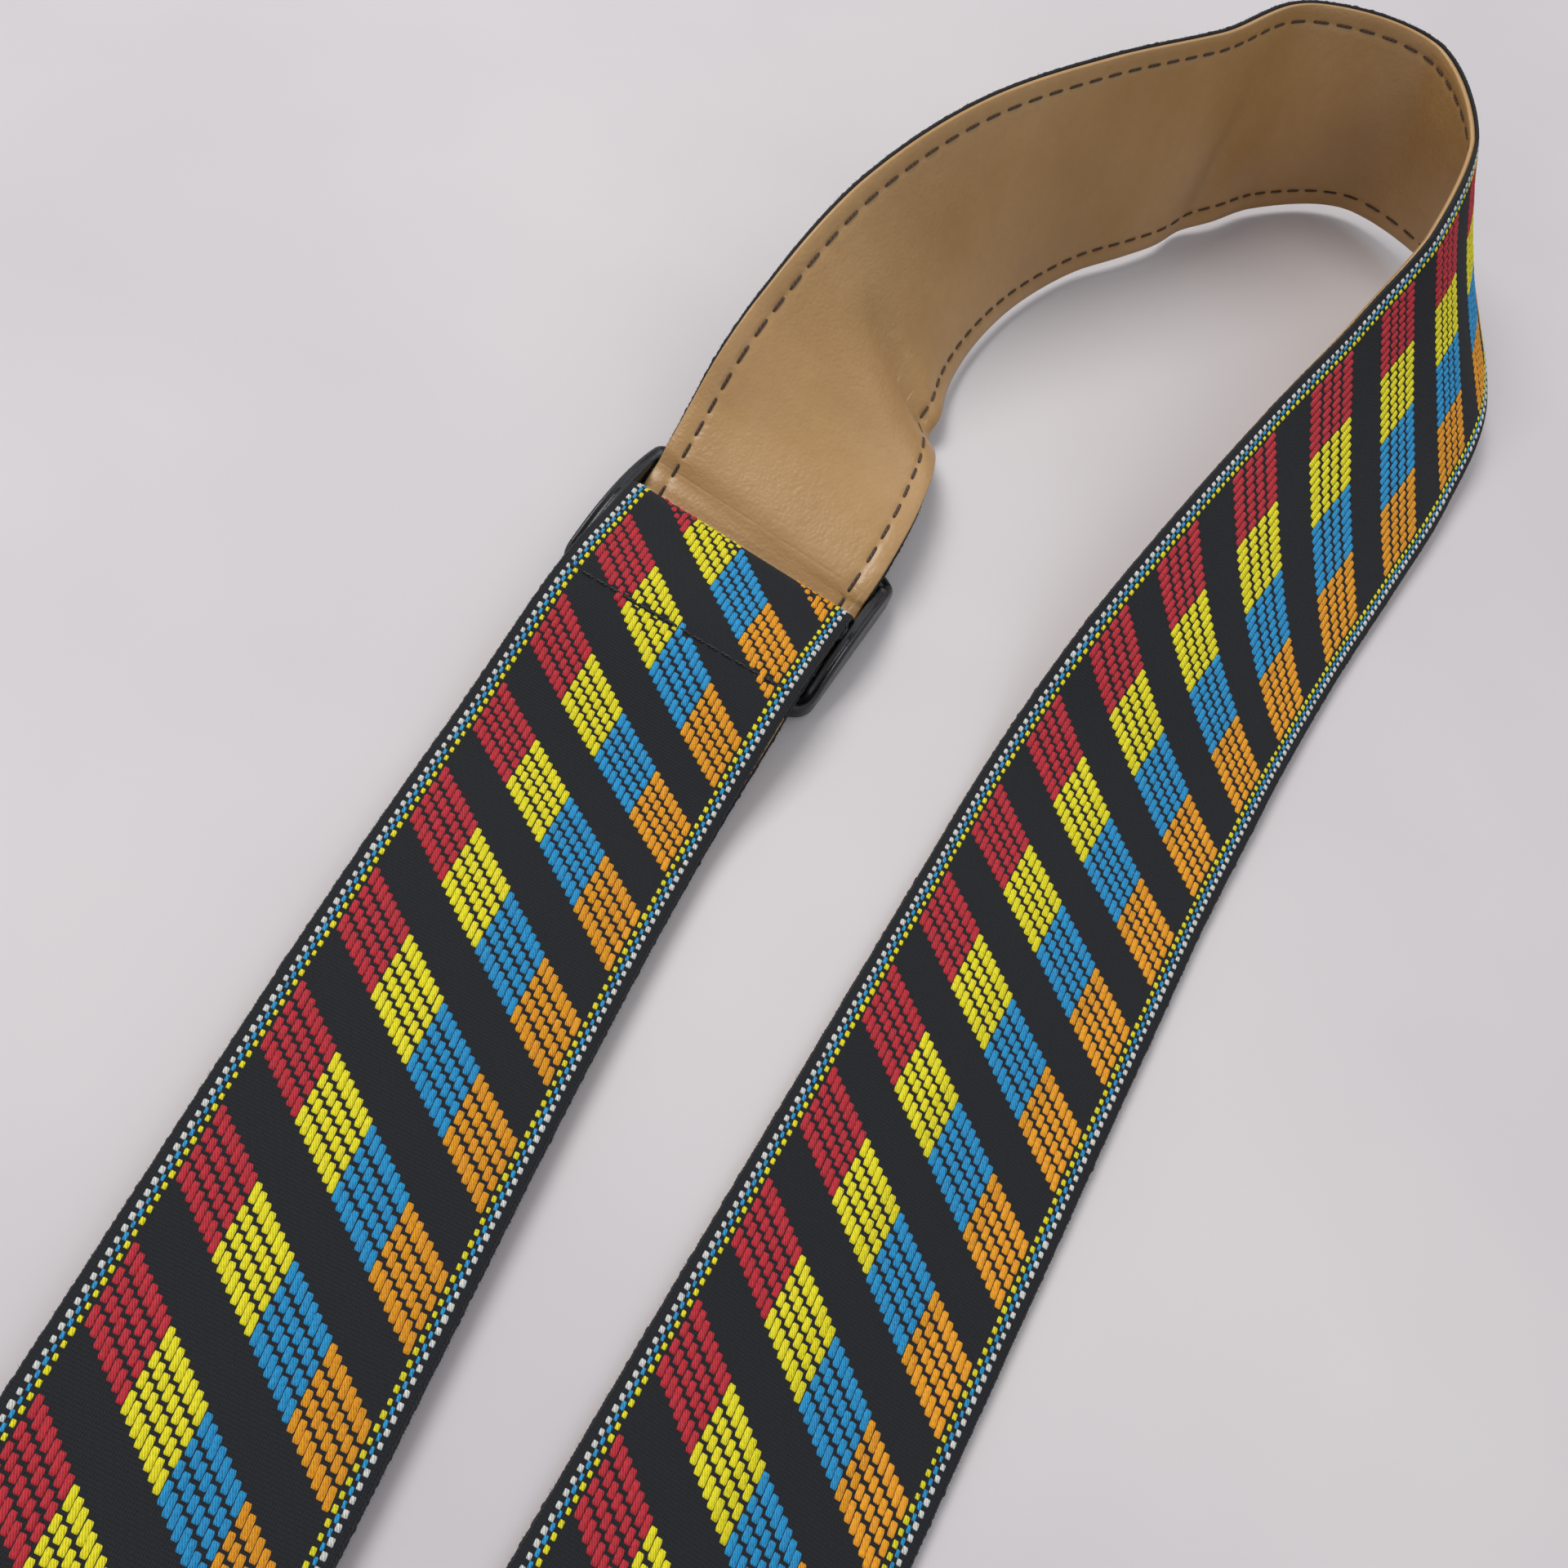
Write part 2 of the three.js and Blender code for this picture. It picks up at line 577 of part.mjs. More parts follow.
function addTab(name, leather, topZ, rootY, lap, place) {
  const seams = [];
  if (lap) seams.push(['box_seam', boxSeam]);
  seams.push(['edge_seam', (w, h, z) => edgeSeam(rootY, w, h, z)]);
  let solid = leather;
  for (const [, make] of seams) {
    solid = solid.subtract(toManifold(make(GROOVE_WIDTH, GROOVE_DEPTH + 1, topZ - GROOVE_DEPTH)));
  }
  addMesh(`${name}_leather`, place(toGeometry(solid)), materials.leather);
  for (const [seamName, make] of seams) {
    const thread = make(THREAD_WIDTH, THREAD_HEIGHT, topZ - THREAD_HEIGHT);
    addMesh(`${name}_${seamName}`, place(thread), materials.thread);
  }
}

function addFrontTab() {
  const [endX, endY] = LONG_ROUTE[0];
  const [nextX, nextY] = LONG_ROUTE[1];
  const turn = Math.atan2(endX - nextX, nextY - endY);
  const place = (geometry) => geometry.rotateZ(turn).translate(endX, endY, 0);
  const topZ = STRAP_THICK + GAP + TAB_TOP_THICK;
  const lapPiece = rectangle(-TAB_HALF_WIDTH, TAB_HALF_WIDTH, -1, TAB_LAP);
  const leather = ply(0, STRAP_THICK + GAP, TAB_TOP_THICK)
    .add(toManifold(extrude(lapPiece, TAB_TOP_THICK, STRAP_THICK + GAP)));
  addTab('front_tab', leather, topZ, -TAB_SEAM_INSET, true, place);
  addMesh('front_tab_lining', place(toGeometry(ply(-GAP, 0, STRAP_THICK))), materials.lining);
}

// the leather round the ring, from one ply to the other
function rearTabFold(topMid, lowMid) {
  const radius = RING_ROD / 2 + GAP + TAB_TOP_THICK / 2;
  const path = new THREE.Path();
  path.moveTo(-REAR_PLY_ROOT - 1, lowMid);
  path.bezierCurveTo(-14, lowMid, -6, RING_Z - radius, 0, RING_Z - radius);
  path.absarc(0, RING_Z, radius, -Math.PI / 2, Math.PI / 2, false);
  path.bezierCurveTo(-8, RING_Z + radius, -14, topMid, -REAR_PLY_ROOT - 1, topMid);
  const half = TAB_TOP_THICK / 2;
  const points = path.getSpacedPoints(30);
  const frames = points.map((point, i) => {
    const before = points[Math.max(i - 1, 0)];
    const after = points[Math.min(i + 1, points.length - 1)];
    const along = new THREE.Vector3(0, after.x - before.x, after.y - before.y).normalize();
    return makeFrame(new THREE.Vector3(0, point.x, point.y), along, new THREE.Vector3(1, 0, 0));
  });
  return sweep(rectangle(-TAB_HALF_WIDTH, TAB_HALF_WIDTH, -half, half), frames);
}

function addRearTab() {
  const topZ = 2 * TAB_TOP_THICK + GAP;
  const place = (geometry) => geometry.translate(tailX(-TAIL_LENGTH), -TAIL_LENGTH - RING_SPAN, 0);
  const leather = ply(-REAR_PLY_ROOT, 0, TAB_TOP_THICK)
    .add(ply(-REAR_PLY_ROOT, TAB_TOP_THICK + GAP, TAB_TOP_THICK))
    .add(toManifold(rearTabFold(topZ - TAB_TOP_THICK / 2, TAB_TOP_THICK / 2)));
  addTab('rear_tab', leather, topZ, -REAR_PLY_ROOT - 1, false, place);
}

addLongRoute();
addTail();
addSewnEnd();
addSlider();
addRing();
addFrontTab();
addRearTab();

const box = new THREE.Box3().setFromObject(strap);
const centre = box.getCenter(new THREE.Vector3());
strap.position.set(-centre.x, -centre.y, -box.min.z);

const model = new THREE.Group();
model.add(strap);
export default model;
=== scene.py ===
"""A jacquard guitar strap with a vinyl backing, lying in a loop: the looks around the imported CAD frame.

Every soft piece is laid out in the strap's own coordinates: s along the whole strap from the front tab to
the sewn end, v across it towards the red edge, and h out of the woven face, all in millimetres. The Route
class turns them into points in the row frame, so the weave, the vinyl and the stitches follow every bend.
"""

import math

import bpy
import numpy as np
from mathutils import Matrix, Vector


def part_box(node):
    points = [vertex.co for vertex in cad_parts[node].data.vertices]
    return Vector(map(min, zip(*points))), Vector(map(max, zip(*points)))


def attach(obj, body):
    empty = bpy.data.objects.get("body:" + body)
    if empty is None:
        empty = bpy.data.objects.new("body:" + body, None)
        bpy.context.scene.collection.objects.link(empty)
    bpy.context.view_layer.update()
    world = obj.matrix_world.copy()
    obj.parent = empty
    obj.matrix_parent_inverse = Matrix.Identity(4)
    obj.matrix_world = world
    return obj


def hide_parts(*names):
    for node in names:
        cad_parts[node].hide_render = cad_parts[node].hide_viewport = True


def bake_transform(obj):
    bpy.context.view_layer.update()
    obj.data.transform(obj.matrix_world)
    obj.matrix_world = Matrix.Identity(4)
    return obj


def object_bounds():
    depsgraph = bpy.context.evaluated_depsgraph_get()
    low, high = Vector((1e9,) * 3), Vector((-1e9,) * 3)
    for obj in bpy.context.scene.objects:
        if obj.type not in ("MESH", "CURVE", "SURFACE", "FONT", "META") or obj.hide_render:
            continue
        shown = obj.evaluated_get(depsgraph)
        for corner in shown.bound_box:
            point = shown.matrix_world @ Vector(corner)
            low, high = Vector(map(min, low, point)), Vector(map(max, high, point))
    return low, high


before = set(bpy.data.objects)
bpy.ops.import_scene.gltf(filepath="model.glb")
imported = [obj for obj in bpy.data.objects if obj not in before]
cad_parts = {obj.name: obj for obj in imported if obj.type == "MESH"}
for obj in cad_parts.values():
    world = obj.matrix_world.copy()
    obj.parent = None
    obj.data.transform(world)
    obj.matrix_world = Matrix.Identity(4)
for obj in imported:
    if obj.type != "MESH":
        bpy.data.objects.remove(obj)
CAD_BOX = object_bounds()

MM = 0.001
RANDOM = np.random.default_rng(7)

# ---------- driving dimensions, in millimetres ----------
RIBBON_WIDTH = 50.8
VINYL_WIDTH = 50.4
RIBBON_IN, RIBBON_OUT = 0.0, 0.8
VINYL_IN, VINYL_OUT = -0.05, -1.25
SEAM_ACROSS = 21.2
TUCK = 0.3
STITCH_PITCH = 5.4
STITCH_LENGTH = 4.3
STITCH_RADIUS = 0.32

SLIDER_WIDTH, SLIDER_LENGTH, SLIDER_CORNER, SLIDER_AHEAD = 57.0, 40.5, 5.0, 1.75
OUTER_BAR, OUTER_BAR_HEIGHT, RAIL_WIDTH = 4.0, 3.6, 2.8
CENTRE_BAR_Y, CENTRE_BAR_HEIGHT, CENTRE_BAR_LENGTH = 0.5, 3.0, 4.0
CENTRE_BAR_Z = 6.7
BAR_FOLD_RADIUS = 3.05

TAIL_START, TAIL_LENGTH, TAIL_DRIFT, TAIL_END = 36.0, 300.0, 29.0, 62.0
RING_ROD, RING_SPAN, RING_CORNER = 4.4, 20.0, 4.0
RING_HALF_WIDTH = RIBBON_WIDTH / 2 + 0.8 + RING_ROD / 2
LYING_RIBBON_DOWN, SECOND_LAYER = 1.05, 3.85
RING_FOLD_RADIUS = 3.75
RING_Z = LYING_RIBBON_DOWN + RING_FOLD_RADIUS

TAB_LENGTH, TAB_HALF_WIDTH, TAB_TIP_RADIUS = 95.0, 25.4, 15.0
TAB_SHOULDER, TAB_LAP, TAB_THICK = 42.0, 32.0, 2.0
TAB_SEAM_INSET, STRAP_THICK = 4.0, 2.3
REAR_PLY_ROOT = 23.0
BUTTON_HOLE_RADIUS, BUTTON_HOLE_FROM_TIP = 4.6, 19.0
BUTTON_SLIT_LENGTH, BUTTON_SLIT_WIDTH = 10.0, 1.2
SEW_Y, SEAM_PULL = -22.5, 0.5
FOLD_CREASE_Y = 8.8

# dents and bulges of the whole strap: how far past the start of the feed, how far along for each
# millimetre across, depth seen from the vinyl (a bulge is negative), half width, and the reach
# across from the orange edge
DENTS = (
    (-50.0, -0.47, 2.4, 8.0, 72.0),
    (-24.0, -0.47, -0.7, 10.0, 60.0),
    (75.5, -0.3, 3.2, 4.5, 34.0),
    (89.5, -0.3, -1.2, 7.0, 34.0),
)
FEED_START_Y, FEED_END_Y = 136.0, 13.0

# the woven pattern
PERIOD = 22.51                      # from one coloured stripe to the next, along the strap
SLANT = 0.734                       # how far a stripe moves along for each millimetre across
WARP_ENDS = 32
WARP_PITCH = 1.33
ENDS_PER_COLOUR = 8
FLOATS = ((0.0, 3.3), (3.75, 6.15), (6.6, 9.0), (9.45, 12.8))   # the four floats of one end in a stripe
FLOAT_HALF_WIDTH = 0.655
FLOAT_HEIGHT = 0.24
FLOAT_LEAN = -0.1
BORDER_PITCH = PERIOD / 12
# the border's dots from the rim inwards: place across, share of the pitch, half length, half width, height
BORDER_COLUMNS = (
    (23.55, 0.0, 0.54, 0.48, 0.24),
    (22.8, 0.5, 0.6, 0.36, 0.13),
    (21.95, 0.0, 0.54, 0.44, 0.2),
)
PATTERN_LONG_RUN, PATTERN_TAIL = 18.4, 25.6      # where the stripes start along the two visible runs

# The real weave is even. These two distort it by amounts fitted to where the stripes are seen, because
# the route laid out below does not match the real one there.
EASED_START, EASED_END = 372.0, 454.0            # stretched here, by one whole period in all
DRAWN_IN, DRAWN_IN_LENGTH = 6.0, 55.0            # squeezed over this length before the cross seam


# ---------- the strap's route, in millimetres from the slider's middle ----------
# [x, y, z, tilt]: tilt is the roll of the strap about its own length, 0 lying face up and 180 face down
LONG_ROUTE = [
    [95.5, -330, 1.25, 0],
    [91.8, -250, 1.25, 0],
    [89.4, -165, 1.25, 0],
    [88.2, -80, 1.25, 0],
    [87.7, -32, 1.25, 0],
    [87.5, -8, 1.3, 0],
    [88, 14, 3.7, 4.6],
    [89, 34, 7.5, 13],
    [92, 65, 10.5, 21],
    [96, 97, 13, 26],
    [100, 128, 17.5, 34],
    [100.5, 159, 25, 45],
    [90, 188, 29.5, 61],
    [65.5, 206.5, 28.5, 82],
    [39, 193.5, 26.7, 105],
    [26, 164.5, 26.7, 106],
    [10.5, 136, 26.3, 107],
    [-1, 105.5, 25, 116],
    [-5.5, 75, 22, 130],
    [-3, 46, 17.5, 154],
    [-0.9, 28, 12.5, 174],
    [0, 16.5, 8.4, 180],
    [0, 10.3, 4.4, 180],
    [0, 4.6, 1.6, 180],
    [0, 0, 1.2, 180],
    [0, -5, 1.4, 180],
    [0, -10.5, 3.8, 180],
    [0, -14.5, 5.1, 180],
    [0.1, -18.5, 5.1, 180],
    [0.5, -24.5, 2.9, 180],
    [0.8, -30.5, 1.3, 180],
    [1.15, -36, LYING_RIBBON_DOWN, 180],
]

SLIDER_LOW, SLIDER_HIGH = (np.array(corner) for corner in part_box("slider"))
SLIDER_MIDDLE = (SLIDER_LOW + SLIDER_HIGH) / 2
ORIGIN = np.array([SLIDER_MIDDLE[0], SLIDER_MIDDLE[1] - SLIDER_AHEAD * MM, SLIDER_LOW[2]])


def to_row(points):
    """Points in millimetres from the slider's middle, as metres in the row frame."""
    return ORIGIN + MM * np.asarray(points, float)


def unit(vectors):
    return vectors / np.linalg.norm(vectors, axis=-1, keepdims=True)


def smoothstep(x, low, high):
    t = np.clip((x - low) / (high - low), 0, 1)
    return t * t * (3 - 2 * t)


# ---------- routes ----------
def catmull_rom(points, steps=60):
    """A uniform Catmull-Rom curve through the points, with the ends carried straight on."""
    points = np.asarray(points, float)
    held = np.vstack([2 * points[0] - points[1], points, 2 * points[-1] - points[-2]])
    t = np.linspace(0, 1, steps, endpoint=False)[:, None]
    curve = []
    for p0, p1, p2, p3 in zip(held, held[1:], held[2:], held[3:]):
        m1, m2 = (p2 - p0) / 2, (p3 - p1) / 2
        curve.append(
            (2 * t**3 - 3 * t**2 + 1) * p1 + (t**3 - 2 * t**2 + t) * m1
            + (3 * t**2 - 2 * t**3) * p2 + (t**3 - t**2) * m2
        )
    return np.vstack([*curve, points[-1:]])


def bezier(p0, p1, p2, p3, steps=40):
    t = np.linspace(0, 1, steps)[:, None]
    p0, p1, p2, p3 = (np.array(p, float) for p in (p0, p1, p2, p3))
    return (1 - t) ** 3 * p0 + 3 * (1 - t) ** 2 * t * p1 + 3 * (1 - t) * t**2 * p2 + t**3 * p3


def arc(centre, radius, start, end, steps=40):
    angle = np.linspace(start, end, steps)
    return np.array(centre) + radius * np.column_stack([np.cos(angle), np.sin(angle)])


def line(start, end, steps=60):
    return np.linspace(start, end, steps)


def tail_x(y):
    """The sideways place of the tail's middle line, from the slider to the ring and past it."""
    return TAIL_DRIFT * smoothstep(-np.asarray(y, float), 0, TAIL_LENGTH)


def long_frames():
    places = np.array(LONG_ROUTE)
    curve = catmull_rom(places)
    points, tilt = curve[:, :3], np.radians(curve[:, 3])
    along = unit(np.gradient(points, axis=0))
    level = unit(np.cross([0, 0, 1], along))
    above = np.cross(along, level)
    across = np.cos(tilt)[:, None] * level + np.sin(tilt)[:, None] * above
    return points, along, across


def profile_frames(parts):
    """The frames of a path given as (y, z) points, which follows the tail's sideways bend."""
    profile = np.vstack([part[1:] if i else part for i, part in enumerate(parts)])
    slope = (tail_x(profile[:, 0] + 1) - tail_x(profile[:, 0] - 1)) / 2
    step = np.gradient(profile, axis=0)
    along = unit(np.column_stack([slope * step[:, 0], step[:, 0], step[:, 1]]))
    across = unit(np.column_stack([-np.ones_like(slope), slope, np.zeros_like(slope)]))
    points = np.column_stack([tail_x(profile[:, 0]), profile])
    return points, along, across


def tail_parts():
    ring_y = -TAIL_LENGTH
    top = LYING_RIBBON_DOWN + 2 * RING_FOLD_RADIUS
    down = (ring_y + 32, SECOND_LAYER)
    return [
        line((-TAIL_START, LYING_RIBBON_DOWN), (ring_y, LYING_RIBBON_DOWN), 200),
        arc((ring_y, RING_Z), RING_FOLD_RADIUS, -math.pi / 2, -1.5 * math.pi),
        bezier((ring_y, top), (ring_y + 12, top), (ring_y + 18, SECOND_LAYER), down),
        line(down, (-TAIL_END, SECOND_LAYER), 200),
    ]


def sewn_end_parts():
    top, low = CENTRE_BAR_Z + BAR_FOLD_RADIUS, CENTRE_BAR_Z - BAR_FOLD_RADIUS
    front = CENTRE_BAR_Y + CENTRE_BAR_LENGTH / 2 - CENTRE_BAR_HEIGHT / 2
    rise, under = top + 1.1, top - 1.9
    return [
        bezier((-TAIL_END, SECOND_LAYER), (-42, SECOND_LAYER), (-32, rise), (-17, rise)),
        bezier((-17, rise), (-12, rise), (-8, top), (-3, top)),
        line((-3, top), (front, top), 8),
        arc((front, CENTRE_BAR_Z), BAR_FOLD_RADIUS, math.pi / 2, -math.pi / 2),
        line((front, low), (-1.5, low), 6),
        bezier((-1.5, low), (-5, low), (-7.5, under), (-12.5, under)),
        line((-12.5, under), (-19, under), 12),
        bezier((-19, under), (-21, under), (-22, top - 2.2), (-24, top - 2.8)),
    ]


def dented(s, v):
    """How far the dents move every layer out of its even place."""
    total = 0
    for past_feed, slope, depth, width, reach in DENTS:
        apart = s - S_FEED - past_feed - slope * v
        fade = np.clip(1 - (v + VINYL_WIDTH / 2) / reach, 0, 1)
        total = total + depth * fade * np.exp(-((apart / width) ** 2))
    return total


class Route:
    """The whole strap as one line, which gives the point at s along, v across and h out of the woven face."""

    def __init__(self):
        pieces = [long_frames(), profile_frames(tail_parts()), profile_frames(sewn_end_parts())]
        points, along, across = (np.vstack([piece[i] for piece in pieces]) for i in range(3))
        moved = np.linalg.norm(np.diff(points, axis=0), axis=1)
        keep = np.concatenate([[True], moved > 1e-4])
        self.points, self.across = points[keep], across[keep]
        self.out = unit(np.cross(along[keep], self.across))
        steps = np.linalg.norm(np.diff(self.points, axis=0), axis=1)
        self.s = np.concatenate([[0], np.cumsum(steps)])
        turning = np.linalg.norm(np.diff(self.out, axis=0), axis=1) / np.maximum(steps, 0.05)
        self.turning = np.concatenate([turning, turning[-1:]])
        self.length = self.s[-1]

    def read(self, values, s):
        return np.stack([np.interp(s, self.s, values[:, k]) for k in range(3)], axis=-1)

    def place(self, s, v, h):
        s, v, h = np.broadcast_arrays(np.asarray(s, float), v, h)
        h = h + dented(s, v)
        across, out = unit(self.read(self.across, s)), unit(self.read(self.out, s))
        return to_row(self.read(self.points, s) + across * v[..., None] + out * h[..., None])

    def where(self, test, first=True):
        """The s of the first or last sample that passes the test on its point."""
        found = np.flatnonzero(test(self.points, self.s))
        return self.s[found[0 if first else -1]]

    def rings(self, start, end, longest=2.5):
        """Places along from start to end, closer together where the strap turns."""
        s = np.arange(start, end, 0.05)
        per_mm = np.clip(np.interp(s, self.s, self.turning) / 0.12, 1 / longest, 4)
        grown = np.concatenate([[0], np.cumsum(per_mm * 0.05)])
        return np.interp(np.linspace(0, grown[-1], max(int(grown[-1]) + 1, 4)), grown, [*s, end])


route = Route()
S_LOOP_TOP = route.where(lambda p, s: p[:, 1] == p[:, 1].max())
S_FEED = route.where(lambda p, s: (s > S_LOOP_TOP) & (p[:, 1] < FEED_START_Y))
S_THREADED = route.where(lambda p, s: (s > S_LOOP_TOP) & (p[:, 1] < FEED_END_Y))
S_TAIL = route.where(lambda p, s: (s > S_LOOP_TOP) & (p[:, 1] < -TAIL_START + 0.01))
S_RING = route.where(lambda p, s: p[:, 1] == p[s > S_TAIL, 1].min(), first=False)
S_SEWN = route.where(lambda p, s: (s > S_RING) & (p[:, 1] > -TAIL_END - 0.01))
S_CROSS_SEAM = route.where(lambda p, s: (s > S_SEWN) & (p[:, 1] > SEW_Y))
S_FOLD_CREASE = route.where(lambda p, s: (s > S_FEED) & (p[:, 1] < FOLD_CREASE_Y))

# name: (start, end, CAD stretches it stands for)
STRETCHES = {
    "long_run": (0.0, S_FEED, ["long_run", "loop_rise", "loop_bend", "loop_return"]),
    "feed": (S_FEED, S_THREADED, ["feed"]),
    "threaded": (S_THREADED, S_TAIL, ["threaded"]),
    "tail": (S_TAIL, S_SEWN, ["tail_lower", "ring_fold", "tail_upper"]),
    "sewn_end": (S_SEWN, route.length, ["sewn_end"]),
}
BODY = {"long_run": "strap", "threaded": "slider", "sewn_end": "slider"}


# ---------- meshes ----------
def grid_faces(rows, columns, closed_columns=False):
    """Quads between rows x columns vertices; with closed_columns each row is a ring."""
    wide = columns if closed_columns else columns - 1
    i, j = np.meshgrid(np.arange(rows - 1), np.arange(wide), indexing="ij")
    near, far = i * columns + j, i * columns + (j + 1) % columns
    return np.stack([near, far, far + columns, near + columns], axis=-1).reshape(-1, 4)


def each(*arrays):
    """Arrays of one value per float, ready to spread over the float's own rows and columns."""
    return (values[:, None, None] for values in arrays)


def repeated(faces, count, vertices):
    """The faces of count copies of a mesh that has this many vertices."""
    return (faces[None] + (np.arange(count) * vertices)[:, None, None]).reshape(-1, 4)


def new_mesh(name, vertices, faces, uv=None, slots=None, materials=(), extra_faces=()):
    """A smooth mesh object; extra_faces are flat end caps, whose edges stay sharp."""
    mesh = bpy.data.meshes.new(name)
    vertices = np.asarray(vertices, float).reshape(-1, 3)
    if len(extra_faces):
        mesh.from_pydata(vertices.tolist(), [], [*np.asarray(faces).tolist(), *extra_faces])
    else:
        faces = np.asarray(faces)
        mesh.vertices.add(len(vertices))
        mesh.vertices.foreach_set("co", vertices.ravel())
        mesh.loops.add(faces.size)
        mesh.loops.foreach_set("vertex_index", faces.ravel().astype(np.int32))
        mesh.polygons.add(len(faces))
        starts = np.arange(0, faces.size, faces.shape[1], dtype=np.int32)
        mesh.polygons.foreach_set("loop_start", starts)
        mesh.update(calc_edges=True)
    smooth = np.arange(len(mesh.polygons)) < len(faces)
    mesh.polygons.foreach_set("use_smooth", smooth)
    if uv is not None:
        corners = np.empty(len(mesh.loops), np.int32)
        mesh.loops.foreach_get("vertex_index", corners)
        layer = mesh.uv_layers.new(name="strap_mm")
        layer.data.foreach_set("uv", np.asarray(uv, float).reshape(-1, 2)[corners].ravel())
    for material in materials:
        mesh.materials.append(material)
    if slots is not None:
        mesh.polygons.foreach_set("material_index", np.asarray(slots, np.int32))
    mesh.validate()
    piece = bpy.data.objects.new(name, mesh)
    bpy.context.scene.collection.objects.link(piece)
    return piece


def swept(name, s, section, material):
    """A closed solid: section(s) gives a ring of (v, h) for each s, as arrays of shape (len(s), n).

    Each end is tucked a little way into the next stretch, so that no gap shows between the two.
    """
    s = np.concatenate([[s[0] - TUCK], s, [s[-1] + TUCK]])
    v, h = (np.array(a) for a in section(s))
    for row in (0, -1):
        middle = (h[row].max() + h[row].min()) / 2
        h[row] = middle + 0.85 * (h[row] - middle)
        v[row] *= 0.998
    rows, columns = v.shape
    points = route.place(s[:, None], v, h)
    caps = [list(range(columns))[::-1], list(range((rows - 1) * columns, rows * columns))]
    uv = np.stack([v, np.broadcast_to(s[:, None], v.shape)], axis=-1)
    faces = grid_faces(rows, columns, closed_columns=True)
    return new_mesh(name, points, faces, uv=uv, materials=[material], extra_faces=caps)


# ---------- materials ----------
class Look:
    """A Principled material with its node tree at hand."""

    def __init__(self, name, colour, roughness, **sockets):
        self.material = bpy.data.materials.new(name)
        self.material.use_nodes = True
        self.nodes = self.material.node_tree.nodes
        self.links = self.material.node_tree.links
        self.shader = self.nodes["Principled BSDF"]
        self.set("Base Color", (*colour, 1))
        self.set("Roughness", roughness)
        for socket, value in sockets.items():
            self.set(socket.replace("_", " "), value)

    def set(self, socket, value):
        self.shader.inputs[socket].default_value = value

    def add(self, kind, inputs=None, **settings):
        node = self.nodes.new(kind)
        for key, value in settings.items():
            setattr(node, key, value)
        for key, value in (inputs or {}).items():
            if isinstance(value, bpy.types.NodeSocket):
                self.links.new(value, node.inputs[key])
            else:
                node.inputs[key].default_value = value
        return node

    def math(self, operation, *values):
        return self.add("ShaderNodeMath", dict(enumerate(values)), operation=operation).outputs[0]

    def strap_mm(self):
        """(v, s) in millimetres, from the strap's own coordinates."""
        return self.add("ShaderNodeUVMap", uv_map="strap_mm").outputs["UV"]

    def object_mm(self):
        mapping = {"Vector": self.add("ShaderNodeTexCoord").outputs["Object"], "Scale": (1000, 1000, 1000)}
        return self.add("ShaderNodeMapping", mapping).outputs[0]

    def noise(self, vector, scale, detail=3.0, roughness=0.5):
        inputs = {"Vector": vector, "Scale": scale, "Detail": detail, "Roughness": roughness}
        return self.add("ShaderNodeTexNoise", inputs).outputs["Fac"]

    def ridges(self, vector, pitch, angle):
        """A sine from 0 to 1 with the given pitch in millimetres, across a line at angle degrees."""
        turned = self.add("ShaderNodeMapping", {"Vector": vector, "Rotation": (0, 0, math.radians(angle))})
        apart = self.add("ShaderNodeSeparateXYZ", {0: turned.outputs[0]}).outputs[0]
        wave = self.math("SINE", self.math("MULTIPLY", apart, 2 * math.pi / pitch))
        return self.math("MULTIPLY_ADD", wave, 0.5, 0.5)

    def mix(self, factor, low, high):
        node = self.add("ShaderNodeMix", data_type="RGBA")
        for socket, value in ((0, factor), (6, low), (7, high)):
            if isinstance(value, bpy.types.NodeSocket):
                self.links.new(value, node.inputs[socket])
            else:
                node.inputs[socket].default_value = value if socket == 0 else (*value, 1)
        return node.outputs[2]

    def spread(self, value, low, high, to_low=0.0, to_high=1.0):
        inputs = {0: value, 1: low, 2: high, 3: to_low, 4: to_high}
        return self.add("ShaderNodeMapRange", inputs).outputs[0]

    def colour(self, socket):
        self.links.new(socket, self.shader.inputs["Base Color"])

    def rough(self, socket):
        self.links.new(socket, self.shader.inputs["Roughness"])

    def bump(self, height, distance_mm, strength=1.0):
        inputs = {"Height": height, "Distance": distance_mm * MM, "Strength": strength}
        previous = self.shader.inputs["Normal"].links
        if previous:
            inputs["Normal"] = previous[0].from_socket
        self.links.new(self.add("ShaderNodeBump", inputs).outputs[0], self.shader.inputs["Normal"])


def linear(*srgb):
    """A colour given as 0-255 sRGB, in linear light."""
    return tuple((c / 255 / 12.92) if c < 10.3 else ((c / 255 + 0.055) / 1.055) ** 2.4 for c in srgb)


def woven_black():
    """The ribbon's ground: fine black warp ribs crossed by the weft."""
    look = Look("woven_black", linear(24, 26, 31), 0.9)
    mm = look.strap_mm()
    warp = look.ridges(mm, 0.42, 0)
    weft = look.ridges(mm, 0.6, 90)
    twill = look.ridges(mm, 1.25, 35)
    cloud = look.noise(mm, 0.12, 4)
    fine = look.noise(mm, 2.2, 2)
    weave = look.math("MULTIPLY", warp, weft)
    shade = look.math("MULTIPLY_ADD", weave, 0.55, look.math("MULTIPLY", fine, 0.45))
    tone = look.mix(shade, linear(12, 13, 16), linear(36, 39, 46))
    look.colour(look.mix(look.spread(cloud, 0.35, 0.7, 0, 0.35), tone, linear(22, 24, 31)))
    look.bump(weave, 0.16)
    look.bump(twill, 0.05)
    look.bump(fine, 0.06)
    return look.material


